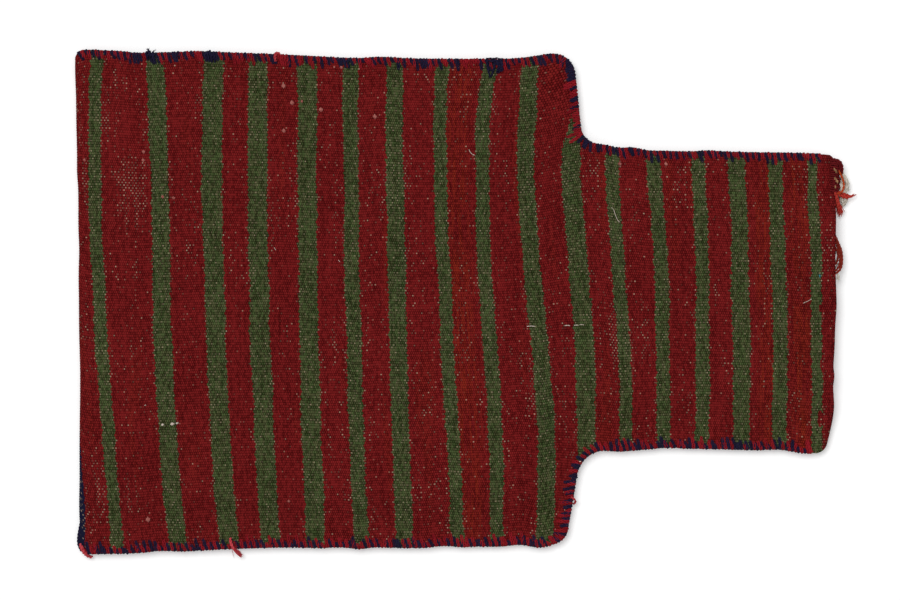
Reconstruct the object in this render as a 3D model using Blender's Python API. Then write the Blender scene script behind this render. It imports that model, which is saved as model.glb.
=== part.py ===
"""A flat-woven wool salt bag, lying on its front wall with its mouth toward +X.

The bag is one strip of striped cloth folded at its base. The two walls meet along both sides,
over the shoulders and up the neck, where red and navy yarn is wound over their edges. The mouth
is open, with a worn end of wrapped cord at its upper corner.

The origin is on the underside, below the middle of the body. +X points from the base fold to the
mouth, +Y across the bag and +Z up. All lengths are in metres.
"""

import math

import bmesh
import bpy
import numpy as np

# Overall sizes of the cloth
BODY_LENGTH = 0.3975
NECK_LENGTH = 0.2080
BODY_WIDTH = 0.3900
NECK_WIDTH = 0.2360
ORIGIN_FROM_FOLD = 0.1980

# Section of the cloth and of the space between its walls; one ridge stands for two warps
CLOTH_THICKNESS = 0.0024
RIDGE_PITCH = 0.0040
RIDGE_HEIGHT = 0.0003
BODY_SPACE = 0.0090
MOUTH_SPACE = 0.0075
FOLD_SPACE = 0.0012
SEAM_SPACE = 0.0003
BELLY_RAMP = 0.0400
FOLD_RAMP = 0.0500
LIFT_RAMP = 0.0200

# Corners and slants of the outline
BASE_CORNER_RADIUS = 0.0070
SHOULDER_CORNER_RADIUS = 0.0160
NECK_FILLET_RADIUS = 0.0120
UPPER_MOUTH_RADIUS = 0.0080
LOWER_MOUTH_RADIUS = 0.0040
SHOULDER_SLANT = 0.10
UPPER_SHOULDER_SHIFT = 0.0012
LOWER_SHOULDER_SHIFT = -0.0020
BASE_SKEW = -0.0016

# How far each edge strays outward from straight, at fractions of its run
UPPER_BODY_WANDER = ((0.03, 0.0061), (0.08, 0.0045), (0.33, 0.0029), (0.48, 0.0005), (0.63, -0.0011),
                     (0.79, -0.0019), (0.89, -0.0011), (0.96, 0.0021))
LOWER_BODY_WANDER = ((0.03, 0.0045), (0.13, 0.0029), (0.33, 0.0005), (0.54, -0.0019), (0.64, -0.0003),
                     (0.79, -0.0011), (0.89, -0.0027), (0.96, -0.0035))
UPPER_NECK_WANDER = ((0.0, 0.0050), (0.12, 0.0044), (0.25, 0.0018), (0.55, 0.0012), (0.95, -0.0002))
LOWER_NECK_WANDER = ((0.0, -0.0002), (0.25, -0.0025), (0.40, -0.0032), (0.60, -0.0017), (0.95, 0.0014))
MOUTH_WANDER = ((-1.0, -0.0075), (-0.87, -0.0045), (-0.65, -0.0016), (-0.20, 0.0), (0.50, 0.0),
                (0.70, -0.0016), (1.0, -0.0016))

# Yarn over the seams and the clearance between pieces that touch
FIT_GAP = 0.0003
FLOOR_GAP = 0.0002
YARN_THICKNESS = 0.0014
WRAP_PITCH = 0.00255
WRAP_REACH = 0.0070
FLAT_MARGIN = 0.0025

# Knot on the upper seam: a loop of yarn with two crossed tails
KNOT_FROM_FOLD = 0.3296
KNOT_INSET = 0.0065
KNOT_YARN = 0.0016
KNOT_LOOP_RADIUS = 0.0042
KNOT_TAIL = 0.0070

# Worn cord at the upper corner of the mouth
CORD_DIAMETER = 0.0040
CORD_WRAP_THICKNESS = 0.0012
CORD_WRAP_LENGTH = 0.0270
CORD_WRAP_TURNS = 11
CORD_CORNER_INSET = 0.0060
CORD_TAIL_LENGTH = 0.0110
CORD_TAIL_SPREAD = 0.0040

# Stripes: centre from the base fold, and width
STRIPES = ((0.0145, 0.0100), (0.0655, 0.0145), (0.1070, 0.0165), (0.1440, 0.0165), (0.1840, 0.0150),
           (0.2180, 0.0125), (0.2540, 0.0140), (0.2915, 0.0105), (0.3250, 0.0110), (0.3620, 0.0140),
           (0.3990, 0.0150), (0.4310, 0.0105), (0.4660, 0.0115), (0.4980, 0.0110), (0.5285, 0.0140),
           (0.5600, 0.0120), (0.5890, 0.0080))

RED = (0.105, 0.0075, 0.0072)
GREEN = (0.040, 0.052, 0.018)
YARN_RED = (0.300, 0.0110, 0.0170)
YARN_NAVY = (0.0075, 0.0085, 0.0300)
WOOL_GREY = (0.480, 0.430, 0.360)

HALF_RIDGE = RIDGE_PITCH / 2
BODY_ROWS = max(8, round(BODY_WIDTH / 2 / HALF_RIDGE))
NECK_ROWS = min(BODY_ROWS - 4, round(NECK_WIDTH / 2 / HALF_RIDGE))
SHOULDER_WIDTH = (BODY_WIDTH - NECK_WIDTH) / 2
CORNER_RADIUS = min(SHOULDER_CORNER_RADIUS, 0.45 * SHOULDER_WIDTH)
FILLET_RADIUS = min(NECK_FILLET_RADIUS, 0.45 * SHOULDER_WIDTH)
SEAM_LIFT = FLOOR_GAP + YARN_THICKNESS + FIT_GAP
SEAM_TOP = SEAM_LIFT + 2 * CLOTH_THICKNESS + SEAM_SPACE
SEAM_MARGIN = WRAP_REACH + FLAT_MARGIN


def smooth(value):
    """Ease a value from 0 to 1, flat at both ends."""
    clamped = min(1.0, max(0.0, value))
    return clamped * clamped * (3 - 2 * clamped)


def between(start, end, share):
    """The value a share of the way from start to end."""
    return start + (end - start) * share


def stray(stations, share):
    """How far an edge strays at a share of its run."""
    shares, offsets = zip(*stations)
    return float(np.interp(share, shares, offsets))


def rounding(radius, inset):
    """How far a round corner lies behind its square one, at an inset from its side."""
    if radius <= 0 or inset >= radius:
        return 0.0
    return radius - math.sqrt(radius * radius - (radius - inset) ** 2)


def body_edge(along, side):
    """The body's edge across the bag, at a distance from the base fold."""
    wander = UPPER_BODY_WANDER if side > 0 else LOWER_BODY_WANDER
    half = BODY_WIDTH / 2 + stray(wander, along / BODY_LENGTH)
    return side * (half - rounding(BASE_CORNER_RADIUS, max(0.0, along)))


def neck_edge(along, side):
    """The neck's edge across the bag, at a distance from the base fold."""
    wander = UPPER_NECK_WANDER if side > 0 else LOWER_NECK_WANDER
    return side * (NECK_WIDTH / 2 + stray(wander, (along - BODY_LENGTH) / NECK_LENGTH))


def across(row, along):
    """Place of a warp row across the bag: the rows spread and close up with the bag's edges."""
    body_pair = (body_edge(along, 1), body_edge(along, -1))
    neck_pair = (neck_edge(along, 1), neck_edge(along, -1))
    run = 0.03 + FILLET_RADIUS
    share = smooth((along - BODY_LENGTH + 0.03) / run)
    middle = between(sum(body_pair) / 2, sum(neck_pair) / 2, share)
    body_step = (body_pair[0] - body_pair[1]) / 2 / BODY_ROWS
    neck_step = (neck_pair[0] - neck_pair[1]) / 2 / NECK_ROWS
    return middle + row * between(body_step, neck_step, share)


def fold_start(row):
    """How far the outside of the base fold lies from its nominal place, at a warp row."""
    return BASE_SKEW * row / BODY_ROWS


def shoulder_end(row):
    """Where a warp row leaves the body: at the shoulder, or at the foot of the neck."""
    ends = []
    for side, shift in ((1, UPPER_SHOULDER_SHIFT), (-1, LOWER_SHOULDER_SHIFT)):
        inset = max(0.0, BODY_ROWS - abs(row)) * HALF_RIDGE
        rise = max(0.0, abs(row) - NECK_ROWS) * HALF_RIDGE
        inset = min(inset, SHOULDER_WIDTH)
        end = BODY_LENGTH + shift + SHOULDER_SLANT * (inset - SHOULDER_WIDTH / 2)
        end -= rounding(CORNER_RADIUS, inset)
        ends.append(end + rounding(FILLET_RADIUS, rise))
    if abs(row) >= NECK_ROWS:
        return ends[0] if row > 0 else ends[1]
    return between(ends[1], ends[0], (row / NECK_ROWS + 1) / 2)


def mouth_end(row):
    """Where a warp row ends at the mouth."""
    inset = (NECK_ROWS - abs(row)) * HALF_RIDGE
    radius = UPPER_MOUTH_RADIUS if row > 0 else LOWER_MOUTH_RADIUS
    end = BODY_LENGTH + NECK_LENGTH + stray(MOUTH_WANDER, row / NECK_ROWS)
    return end - rounding(radius, inset)


def body_columns(row):
    """Stations along a row in the body, after the base fold."""
    start = fold_start(row) + FOLD_RAMP
    end = shoulder_end(row)
    stop = end - BELLY_RAMP - SEAM_MARGIN - FILLET_RADIUS - FLAT_MARGIN
    stations = [between(fold_start(row) + SEAM_TOP, start, 0.4), start]
    stations += [between(start, stop, share) for share in (0.2, 0.64, 1.0)]
    stations += [between(stop, end - SEAM_MARGIN, share) for share in (0.3, 0.55, 0.78, 1.0)]
    return stations + [end]


def neck_columns(row):
    """Stations along a row in the neck, after the body's last one."""
    start = shoulder_end(row)
    end = mouth_end(row)
    return [between(start, end, 0.30), between(start, end, 0.62), end - UPPER_MOUTH_RADIUS * 1.5, end]


def seam_line(side):
    """The cloth's edge along one seam in plan, from the base corner to the mouth."""
    outer = side * BODY_ROWS
    inner = side * NECK_ROWS
    points = [(x, across(outer, x)) for x in [fold_start(outer) + BASE_CORNER_RADIUS] + body_columns(outer)]
    for row in range(BODY_ROWS - 1, NECK_ROWS - 1, -1):
        end = shoulder_end(side * row)
        points.append((end, across(side * row, end)))
    points += [(x, across(inner, x)) for x in neck_columns(inner)[:-1]]
    return np.array(points)


SEAM_LINES = {1: seam_line(1), -1: seam_line(-1)}


def seam_distance(along, sideways):
    """Distance in plan from a point of the cloth to the nearest seam."""
    nearest = math.inf
    point = np.array((along, sideways))
    for line in SEAM_LINES.values():
        run = line[1:] - line[:-1]
        share = np.clip(((point - line[:-1]) * run).sum(axis=1) / (run * run).sum(axis=1), 0, 1)
        foot = line[:-1] + run * share[:, None]
        nearest = min(nearest, float(np.sqrt(((point - foot) ** 2).sum(axis=1)).min()))
    return nearest


def wall_heights(row, along, sideways):
    """Height of the cloth's underside, and the clear space between its two walls."""
    inward = seam_distance(along, sideways) - SEAM_MARGIN
    lift = SEAM_LIFT * (1 - smooth(inward / LIFT_RAMP))
    end = BODY_LENGTH + NECK_LENGTH
    toward_mouth = smooth((along - end + BELLY_RAMP) / BELLY_RAMP)
    full = between(BODY_SPACE, MOUTH_SPACE, toward_mouth)
    off_fold = smooth((along - fold_start(row)) / FOLD_RAMP)
    space = between(FOLD_SPACE, full, off_fold)
    return lift, between(SEAM_SPACE, space, smooth(inward / BELLY_RAMP))


def ridge(row, along, sideways):
    """Height of the cloth's ridge at a row, none in the flat margin under the yarn."""
    if row % 2 or seam_distance(along, sideways) < SEAM_MARGIN + HALF_RIDGE:
        return 0.0
    return RIDGE_HEIGHT


def wall_point(row, along, wall, layer):
    """A point on the outer or inner face of the upper (+1) or lower (-1) wall."""
    sideways = across(row, along)
    lift, space = wall_heights(row, along, sideways)
    if wall < 0:
        height = lift if layer == "outer" else lift + CLOTH_THICKNESS
    else:
        height = lift + CLOTH_THICKNESS + space
        if layer == "outer":
            height += CLOTH_THICKNESS + ridge(row, along, sideways)
    return (along - ORIGIN_FROM_FOLD, sideways, height)


def fold_point(row, turn, layer):
    """A point of the base fold: turn runs from -90 degrees below to +90 above."""
    start = fold_start(row)
    level = across(row, start + BASE_CORNER_RADIUS)
    lift, space = wall_heights(row, start, level)
    outer = CLOTH_THICKNESS + space / 2
    radius = outer if layer == "outer" else space / 2
    if layer == "outer" and turn > 0:
        radius += ridge(row, start, level) * turn / 90
    angle = math.radians(turn)
    reach = start + outer - outer * math.cos(angle)
    sideways = across(row, reach)
    along = start + outer - radius * math.cos(angle)
    return (along - ORIGIN_FROM_FOLD, sideways, lift + outer + radius * math.sin(angle))


def row_points(row, wall, layer):
    """All points of a row on one face of one wall, from the middle of the fold to its end."""
    points = [fold_point(row, wall * turn, layer) for turn in (0, 45, 90)]
    points += [wall_point(row, x, wall, layer) for x in body_columns(row)]
    if abs(row) <= NECK_ROWS:
        points += [wall_point(row, x, wall, layer) for x in neck_columns(row)]
    return points


def plain_rows():
    """Rows of the faces without ridges: close at the corners and fillets, wide in the middle."""
    step = HALF_RIDGE
    insets = (0.0, 0.004, SEAM_MARGIN, 0.020, 0.032, 0.050)
    chosen = {BODY_ROWS - round(inset / step) for inset in insets}
    chosen |= {NECK_ROWS - round(inset / step) for inset in insets}
    chosen |= {NECK_ROWS + count for count in range(math.ceil(FILLET_RADIUS / step) + 2)}
    chosen |= {round(0.3 * NECK_ROWS), BODY_ROWS - 1}
    chosen = {row for row in chosen if 4 < row <= BODY_ROWS}
    return sorted({-row for row in chosen} | chosen)


class Face:
    """One face of one wall as a grid of vertices, a row of the grid for each warp row."""

    def __init__(self, mesh, rows, wall, layer, shared=None):
        self.rows = rows
        self.grid = {}
        for row in rows:
            points = row_points(row, wall, layer)
            verts = [mesh.verts.new(point) for point in points[1:]]
            first = shared[row] if shared else mesh.verts.new(points[0])
            self.grid[row] = [first] + verts
        for low, high in zip(rows, rows[1:]):
            count = min(len(self.grid[low]), len(self.grid[high]))
            for column in range(count - 1):
                corners = (self.grid[low][column], self.grid[low][column + 1],
                           self.grid[high][column + 1], self.grid[high][column])
                mesh.faces.new(corners)

    def rim_chains(self):
        """The free edge round one wall, cut where its direction changes."""
        count = len(row_points(BODY_ROWS, 1, "outer"))
        upper = [row for row in self.rows if row >= NECK_ROWS][::-1]
        lower = [row for row in self.rows if row <= -NECK_ROWS][::-1]
        necks = [row for row in self.rows if abs(row) <= NECK_ROWS][::-1]
        return [self.grid[BODY_ROWS],
                [self.grid[row][count - 1] for row in upper],
                self.grid[NECK_ROWS][count - 1:],
                [self.grid[row][-1] for row in necks],
                self.grid[-NECK_ROWS][count - 1:][::-1],
                [self.grid[row][count - 1] for row in lower],
                self.grid[-BODY_ROWS][::-1]]


def zip_chains(mesh, first, second):
    """Join two chains of vertices that start and end beside each other with triangles."""
    here = 0
    there = 0
    while here < len(first) - 1 or there < len(second) - 1:
        step_first = math.inf
        step_second = math.inf
        if here < len(first) - 1:
            step_first = (first[here + 1].co - second[there].co).length
        if there < len(second) - 1:
            step_second = (second[there + 1].co - first[here].co).length
        if step_first <= step_second:
            mesh.faces.new((first[here], first[here + 1], second[there]))
            here += 1
        else:
            mesh.faces.new((first[here], second[there + 1], second[there]))
            there += 1


def finished_object(name, mesh, materials):
    """Turn a bmesh into a named object with its materials, its faces pointing out."""
    bmesh.ops.triangulate(mesh, faces=mesh.faces[:])
    bmesh.ops.recalc_face_normals(mesh, faces=mesh.faces[:])
    data = bpy.data.meshes.new(name)
    mesh.to_mesh(data)
    mesh.free()
    for material in materials:
        data.materials.append(material)
    data.shade_smooth()
    data.set_sharp_from_angle(angle=math.radians(40))
    made = bpy.data.objects.new(name, data)
    bpy.context.scene.collection.objects.link(made)
    return made


def plain_material(name, colour, roughness=0.9):
    """A matt wool material of one colour."""
    material = bpy.data.materials.new(name)
    material.use_nodes = True
    shader = material.node_tree.nodes["Principled BSDF"]
    shader.inputs["Base Color"].default_value = (*colour, 1.0)
    shader.inputs["Roughness"].default_value = roughness
    shader.inputs["Metallic"].default_value = 0.0
    material.diffuse_color = (*colour, 1.0)
    return material


def striped_material():
    """Red wool with a green stripe at each of the stripes' places."""
    material = plain_material("striped_wool", RED)
    nodes = material.node_tree.nodes
    links = material.node_tree.links
    place = nodes.new("ShaderNodeTexCoord")
    split = nodes.new("ShaderNodeSeparateXYZ")
    links.new(place.outputs["Object"], split.inputs["Vector"])
    total = None
    for centre, width in STRIPES:
        stripe = nodes.new("ShaderNodeMath")
        stripe.operation = "COMPARE"
        links.new(split.outputs["X"], stripe.inputs[0])
        stripe.inputs[1].default_value = centre - ORIGIN_FROM_FOLD
        stripe.inputs[2].default_value = width / 2
        if total is None:
            total = stripe.outputs[0]
            continue
        join = nodes.new("ShaderNodeMath")
        join.operation = "MAXIMUM"
        links.new(total, join.inputs[0])
        links.new(stripe.outputs[0], join.inputs[1])
        total = join.outputs[0]
    mix = nodes.new("ShaderNodeMix")
    mix.data_type = "RGBA"
    mix.inputs["A"].default_value = (*RED, 1.0)
    mix.inputs["B"].default_value = (*GREEN, 1.0)
    links.new(total, mix.inputs["Factor"])
    links.new(mix.outputs["Result"], nodes["Principled BSDF"].inputs["Base Color"])
    return material


def build_cloth():
    """The folded cloth: two walls, the fold between them and their rims, as one solid."""
    mesh = bmesh.new()
    ridged = list(range(-BODY_ROWS, BODY_ROWS + 1))
    plain = plain_rows()
    top_outer = Face(mesh, ridged, 1, "outer")
    top_inner = Face(mesh, plain, 1, "inner")
    middle = {row: verts[0] for row, verts in top_inner.grid.items()}
    base_inner = Face(mesh, plain, -1, "inner", middle)
    fold_middle = {row: top_outer.grid[row][0] for row in plain}
    base_outer = Face(mesh, plain, -1, "outer", fold_middle)
    close_fold(mesh, top_outer, base_outer)
    for outer, inner in ((top_outer, top_inner), (base_outer, base_inner)):
        for first, second in zip(outer.rim_chains(), inner.rim_chains()):
            zip_chains(mesh, first, second)
    return finished_object("kilim_cloth", mesh, [striped_material()])


def close_fold(mesh, top, base):
    """Share the fold's middle line, where the ridged rows meet the fewer rows below."""
    for low, high in zip(base.rows, base.rows[1:]):
        if high - low < 2:
            continue
        wide = mesh.faces.get((base.grid[low][0], base.grid[low][1], base.grid[high][1], base.grid[high][0]))
        mesh.faces.remove(wide)
        chain = [top.grid[row][0] for row in range(low, high + 1)]
        zip_chains(mesh, chain, [base.grid[low][1], base.grid[high][1]])


def resampled(line, pitch):
    """Points at an even pitch along a line in plan, with the outward direction at each."""
    lengths = np.concatenate(([0.0], np.cumsum(np.sqrt((np.diff(line, axis=0) ** 2).sum(axis=1)))))
    count = round(lengths[-1] / pitch)
    marks = np.linspace(0, lengths[-1], count + 1)
    points = np.column_stack([np.interp(marks, lengths, line[:, axis]) for axis in (0, 1)])
    before = np.column_stack([np.interp(marks - pitch, lengths, line[:, axis]) for axis in (0, 1)])
    after = np.column_stack([np.interp(marks + pitch, lengths, line[:, axis]) for axis in (0, 1)])
    run = after - before
    run /= np.sqrt((run * run).sum(axis=1))[:, None]
    return points, np.column_stack((-run[:, 1], run[:, 0]))


def build_overcasting(name, side, materials):
    """The yarn wound over one seam: a ring round both walls' edges, open on the cloth's side."""
    points, outward = resampled(SEAM_LINES[side], WRAP_PITCH)
    outward = outward * side
    top = SEAM_TOP + FIT_GAP
    base = SEAM_LIFT - FIT_GAP
    thick = FIT_GAP + YARN_THICKNESS
    profile = ((-WRAP_REACH, top), (thick, top + YARN_THICKNESS), (thick, base - YARN_THICKNESS),
               (-WRAP_REACH, base), (FIT_GAP, base), (FIT_GAP, top))
    mesh = bmesh.new()
    rings = []
    for point, out in zip(points, outward):
        ring = []
        for offset, height in profile:
            place = point + out * offset
            ring.append(mesh.verts.new((place[0] - ORIGIN_FROM_FOLD, place[1], height)))
        rings.append(ring)
    count = len(profile)
    for number, (near, far) in enumerate(zip(rings, rings[1:])):
        for corner in range(count):
            following = (corner + 1) % count
            face = mesh.faces.new((near[corner], near[following], far[following], far[corner]))
            face.material_index = number % 2
    for ring in (rings[0], rings[-1]):
        for corners in ((0, 1, 5), (1, 2, 4, 5), (2, 3, 4)):
            mesh.faces.new([ring[corner] for corner in corners])
    return finished_object(name, mesh, materials)


def tube(name, route, radii, material, sides=8):
    """A solid tube along a route, with a radius at each point and flat ends."""
    mesh = bmesh.new()
    route = [np.array(point) for point in route]
    rings = []
    up = np.array((0.0, 0.0, 1.0))
    for index, (point, radius) in enumerate(zip(route, radii)):
        run = route[min(index + 1, len(route) - 1)] - route[max(index - 1, 0)]
        run = run / np.linalg.norm(run)
        level = np.cross(up, run)
        level /= np.linalg.norm(level)
        rise = np.cross(run, level)
        turns = [2 * math.pi * number / sides for number in range(sides)]
        rings.append([mesh.verts.new(point + radius * (level * math.cos(turn) + rise * math.sin(turn)))
                      for turn in turns])
    for near, far in zip(rings, rings[1:]):
        for corner in range(sides):
            following = (corner + 1) % sides
            mesh.faces.new((near[corner], near[following], far[following], far[corner]))
    mesh.faces.new(rings[0])
    mesh.faces.new(rings[-1])
    return finished_object(name, mesh, [material])


def build_knot(material):
    """A loop of navy yarn on the upper seam, its two tails crossing at the knot."""
    x = KNOT_FROM_FOLD - ORIGIN_FROM_FOLD
    y = body_edge(KNOT_FROM_FOLD, 1) - KNOT_INSET
    radius = KNOT_YARN / 2
    nearest = KNOT_INSET - KNOT_LOOP_RADIUS - radius
    wrap_share = (WRAP_REACH - nearest) / (WRAP_REACH + FIT_GAP + YARN_THICKNESS)
    low = SEAM_TOP + 2 * FIT_GAP + YARN_THICKNESS * min(1.0, max(0.0, wrap_share)) + radius
    high = low + KNOT_YARN + FIT_GAP
    half_open = math.radians(35)
    steps = 18
    start = math.radians(-90) + half_open
    sweep = 2 * math.pi - 2 * half_open
    loop = []
    for step in range(steps + 1):
        share = step / steps
        turn = start + sweep * share
        loop.append((x + KNOT_LOOP_RADIUS * math.cos(turn), y + KNOT_LOOP_RADIUS * math.sin(turn),
                     between(low, high, smooth(2 * share - 1))))
    first = np.array(loop[0])
    last = np.array(loop[-1])
    lean = np.array((-math.cos(half_open), -math.sin(half_open), 0.0))
    lead = [tuple(first + lean * KNOT_TAIL * share) for share in (1.0, 0.75, 0.5, 0.25)]
    mirrored = np.array((math.cos(half_open), -math.sin(half_open), 0.0))
    trail = [tuple(last + mirrored * KNOT_TAIL * share) for share in (0.25, 0.5, 0.75, 1.0)]
    route = lead + loop + trail
    return tube("upper_seam_knot", route, [radius] * len(route), material, sides=6)


def cord_axis():
    """Plan place and height of the wrapped cord's axis beside the mouth's edge."""
    radius = CORD_DIAMETER / 2 + FIT_GAP + CORD_WRAP_THICKNESS
    start = neck_edge(BODY_LENGTH + NECK_LENGTH, 1) - CORD_CORNER_INSET
    reach = max(mouth_end(row) for row in range(NECK_ROWS + 1)
                if start - CORD_WRAP_LENGTH <= (row + 1) * HALF_RIDGE <= start + RIDGE_PITCH)
    return reach + FIT_GAP + radius - ORIGIN_FROM_FOLD, start, FLOOR_GAP + radius


def build_cord_stub(material):
    """The worn cord itself: straight in its wrapping, then frayed out to a soft tapering end."""
    x, start, height = cord_axis()
    wrapped = [(x, start + 0.002 - CORD_WRAP_LENGTH * share, height) for share in (0.0, 0.35, 0.7, 1.1)]
    end = wrapped[-1]
    tail = [(end[0] + CORD_TAIL_SPREAD * smooth(share), end[1] - CORD_TAIL_LENGTH * share, height)
            for share in (0.3, 0.6, 0.85, 1.0)]
    radii = [CORD_DIAMETER / 2 * share for share in (0.8, 1.0, 1.0, 1.0, 1.25, 1.3, 1.0, 0.5)]
    return tube("mouth_cord_stub", wrapped + tail, radii, material, sides=10)


def build_cord_wrapping(material):
    """Yarn wound round the cord: a ridged sleeve, open at both ends."""
    x, start, height = cord_axis()
    inner = CORD_DIAMETER / 2 + FIT_GAP
    sides = 12
    mesh = bmesh.new()
    profile = []
    for turn in range(CORD_WRAP_TURNS):
        for share, depth in ((0.0, 0.6), (0.5, 1.0)):
            along = CORD_WRAP_LENGTH * (turn + share) / CORD_WRAP_TURNS
            profile.append((along, inner + CORD_WRAP_THICKNESS * depth))
    profile.append((CORD_WRAP_LENGTH, inner + CORD_WRAP_THICKNESS * 0.6))
    profile += [(CORD_WRAP_LENGTH, inner), (0.0, inner)]
    rings = []
    for number in range(sides):
        turn = 2 * math.pi * number / sides
        rings.append([mesh.verts.new((x + radius * math.cos(turn), start - along,
                                      height + radius * math.sin(turn))) for along, radius in profile])
    for near, far in zip(rings, rings[1:] + rings[:1]):
        for corner in range(len(profile)):
            following = (corner + 1) % len(profile)
            mesh.faces.new((near[corner], near[following], far[following], far[corner]))
    return finished_object("mouth_cord_wrapping", mesh, [material])


def main():
    """Clear the scene and build every piece of the bag."""
    for old in list(bpy.data.objects):
        bpy.data.objects.remove(old, do_unlink=True)
    red_yarn = plain_material("red_yarn", YARN_RED)
    navy_yarn = plain_material("navy_yarn", YARN_NAVY)
    wool = plain_material("grey_wool", WOOL_GREY)
    build_cloth()
    build_overcasting("upper_seam_overcasting", 1, [red_yarn, navy_yarn])
    build_overcasting("lower_seam_overcasting", -1, [navy_yarn, red_yarn])
    build_knot(navy_yarn)
    build_cord_stub(wool)
    build_cord_wrapping(red_yarn)


main()
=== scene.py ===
"""The looks of a flat-woven wool salt bag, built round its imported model.

The bag lies on its front wall with its mouth toward +X. Lengths are in metres, in the frame of the
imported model. The cloth is one folded sheet whose warps are real ribs; each vertex carries its place
in the weave, which the wool's material reads. Spun yarn of every kind is swept by one node tree.
"""

from __future__ import annotations

import logging
import math
import random
from dataclasses import dataclass, field
from enum import Enum
from functools import reduce
from typing import Any, Callable, Mapping, Sequence, Union

import bmesh
import bpy
import numpy as np
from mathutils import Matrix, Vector
from mathutils.kdtree import KDTree


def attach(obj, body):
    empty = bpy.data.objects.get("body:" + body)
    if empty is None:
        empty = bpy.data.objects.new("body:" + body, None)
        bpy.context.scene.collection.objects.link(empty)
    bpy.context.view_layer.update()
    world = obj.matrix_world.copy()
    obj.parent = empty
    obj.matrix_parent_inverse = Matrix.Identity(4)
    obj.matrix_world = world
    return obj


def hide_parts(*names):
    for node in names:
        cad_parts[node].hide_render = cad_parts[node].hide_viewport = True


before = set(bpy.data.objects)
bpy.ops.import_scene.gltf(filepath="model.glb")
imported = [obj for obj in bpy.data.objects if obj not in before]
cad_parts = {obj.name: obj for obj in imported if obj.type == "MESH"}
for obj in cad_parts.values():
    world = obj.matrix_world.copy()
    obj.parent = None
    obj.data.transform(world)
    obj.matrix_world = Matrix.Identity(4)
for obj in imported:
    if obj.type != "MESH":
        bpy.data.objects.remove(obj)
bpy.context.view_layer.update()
LOG = logging.getLogger("salt_bag")

Colour = tuple[float, float, float]
Place = tuple[float, float, float]
Ellipse = tuple[float, float, float, float]
Thickness = Union[Sequence[float], float]
Row = tuple[Sequence[Place], Thickness]

PIXEL = 0.0008
FOLD_PIXEL = 79.0
MIDDLE_PIXEL = 302.5
ORIGIN_FROM_FOLD = 0.1980
MILLIMETRE = 0.001

# A rib's crest and trough, as shares of its height.
CREST = 0.7
TROUGH = -0.3

# Half the neck's width, and where the shoulder's stripe starts to flare, in millimetres.
NECK_HALF = 100.0
FLARE_START = 118.0

# Where the rims' strips start on the texture, how far apart they are, and their width.
RIM_STRIPS = 0.674
STRIP_STEP = 0.0225
STRIP = 0.008


def from_photo(column: float, line: float) -> tuple[float, float]:
    """Turn a place in the photo's frame into a distance from the base fold and a place across the bag."""
    return (column - FOLD_PIXEL) * PIXEL, (MIDDLE_PIXEL - line) * PIXEL


def smooth(value: np.ndarray | float) -> np.ndarray:
    """Ease values from 0 to 1, flat at both ends."""
    clamped = np.clip(value, 0.0, 1.0)
    return clamped * clamped * (3 - 2 * clamped)


def between(start: Any, end: Any, share: Any) -> Any:
    """The value a share of the way from start to end."""
    return start + (end - start) * share


def rounding(radius: float, inset: np.ndarray) -> np.ndarray:
    """How far a round corner lies behind its square one, at an inset from its side."""
    depth = np.clip(radius - inset, 0.0, radius)
    return radius - np.sqrt(np.maximum(radius * radius - depth * depth, 0.0))


@dataclass(frozen=True)
class HandEdge:
    """A hand-made edge's offsets from straight, outward, in millimetres, at shares of its run."""

    stations: tuple[tuple[float, float], ...]

    def at(self, share: np.ndarray | float) -> np.ndarray:
        """The offset in metres at each share, on a smooth curve through the stations.

        Args:
            share: shares of the edge's run.

        Returns:
            The offset in metres at each share.
        """
        knots, offsets = np.array(self.stations).T
        offsets = offsets * MILLIMETRE
        slopes = np.gradient(offsets, knots)
        share = np.clip(share, knots[0], knots[-1])
        cell = np.clip(np.searchsorted(knots, share) - 1, 0, len(knots) - 2)
        width = knots[cell + 1] - knots[cell]
        part = (share - knots[cell]) / width
        low = (1 + 2 * part) * (1 - part) ** 2 * offsets[cell] + part * (1 - part) ** 2 * width * slopes[cell]
        high = part * part * (3 - 2 * part) * offsets[cell + 1]
        return low + high + part * part * (part - 1) * width * slopes[cell + 1]


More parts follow.
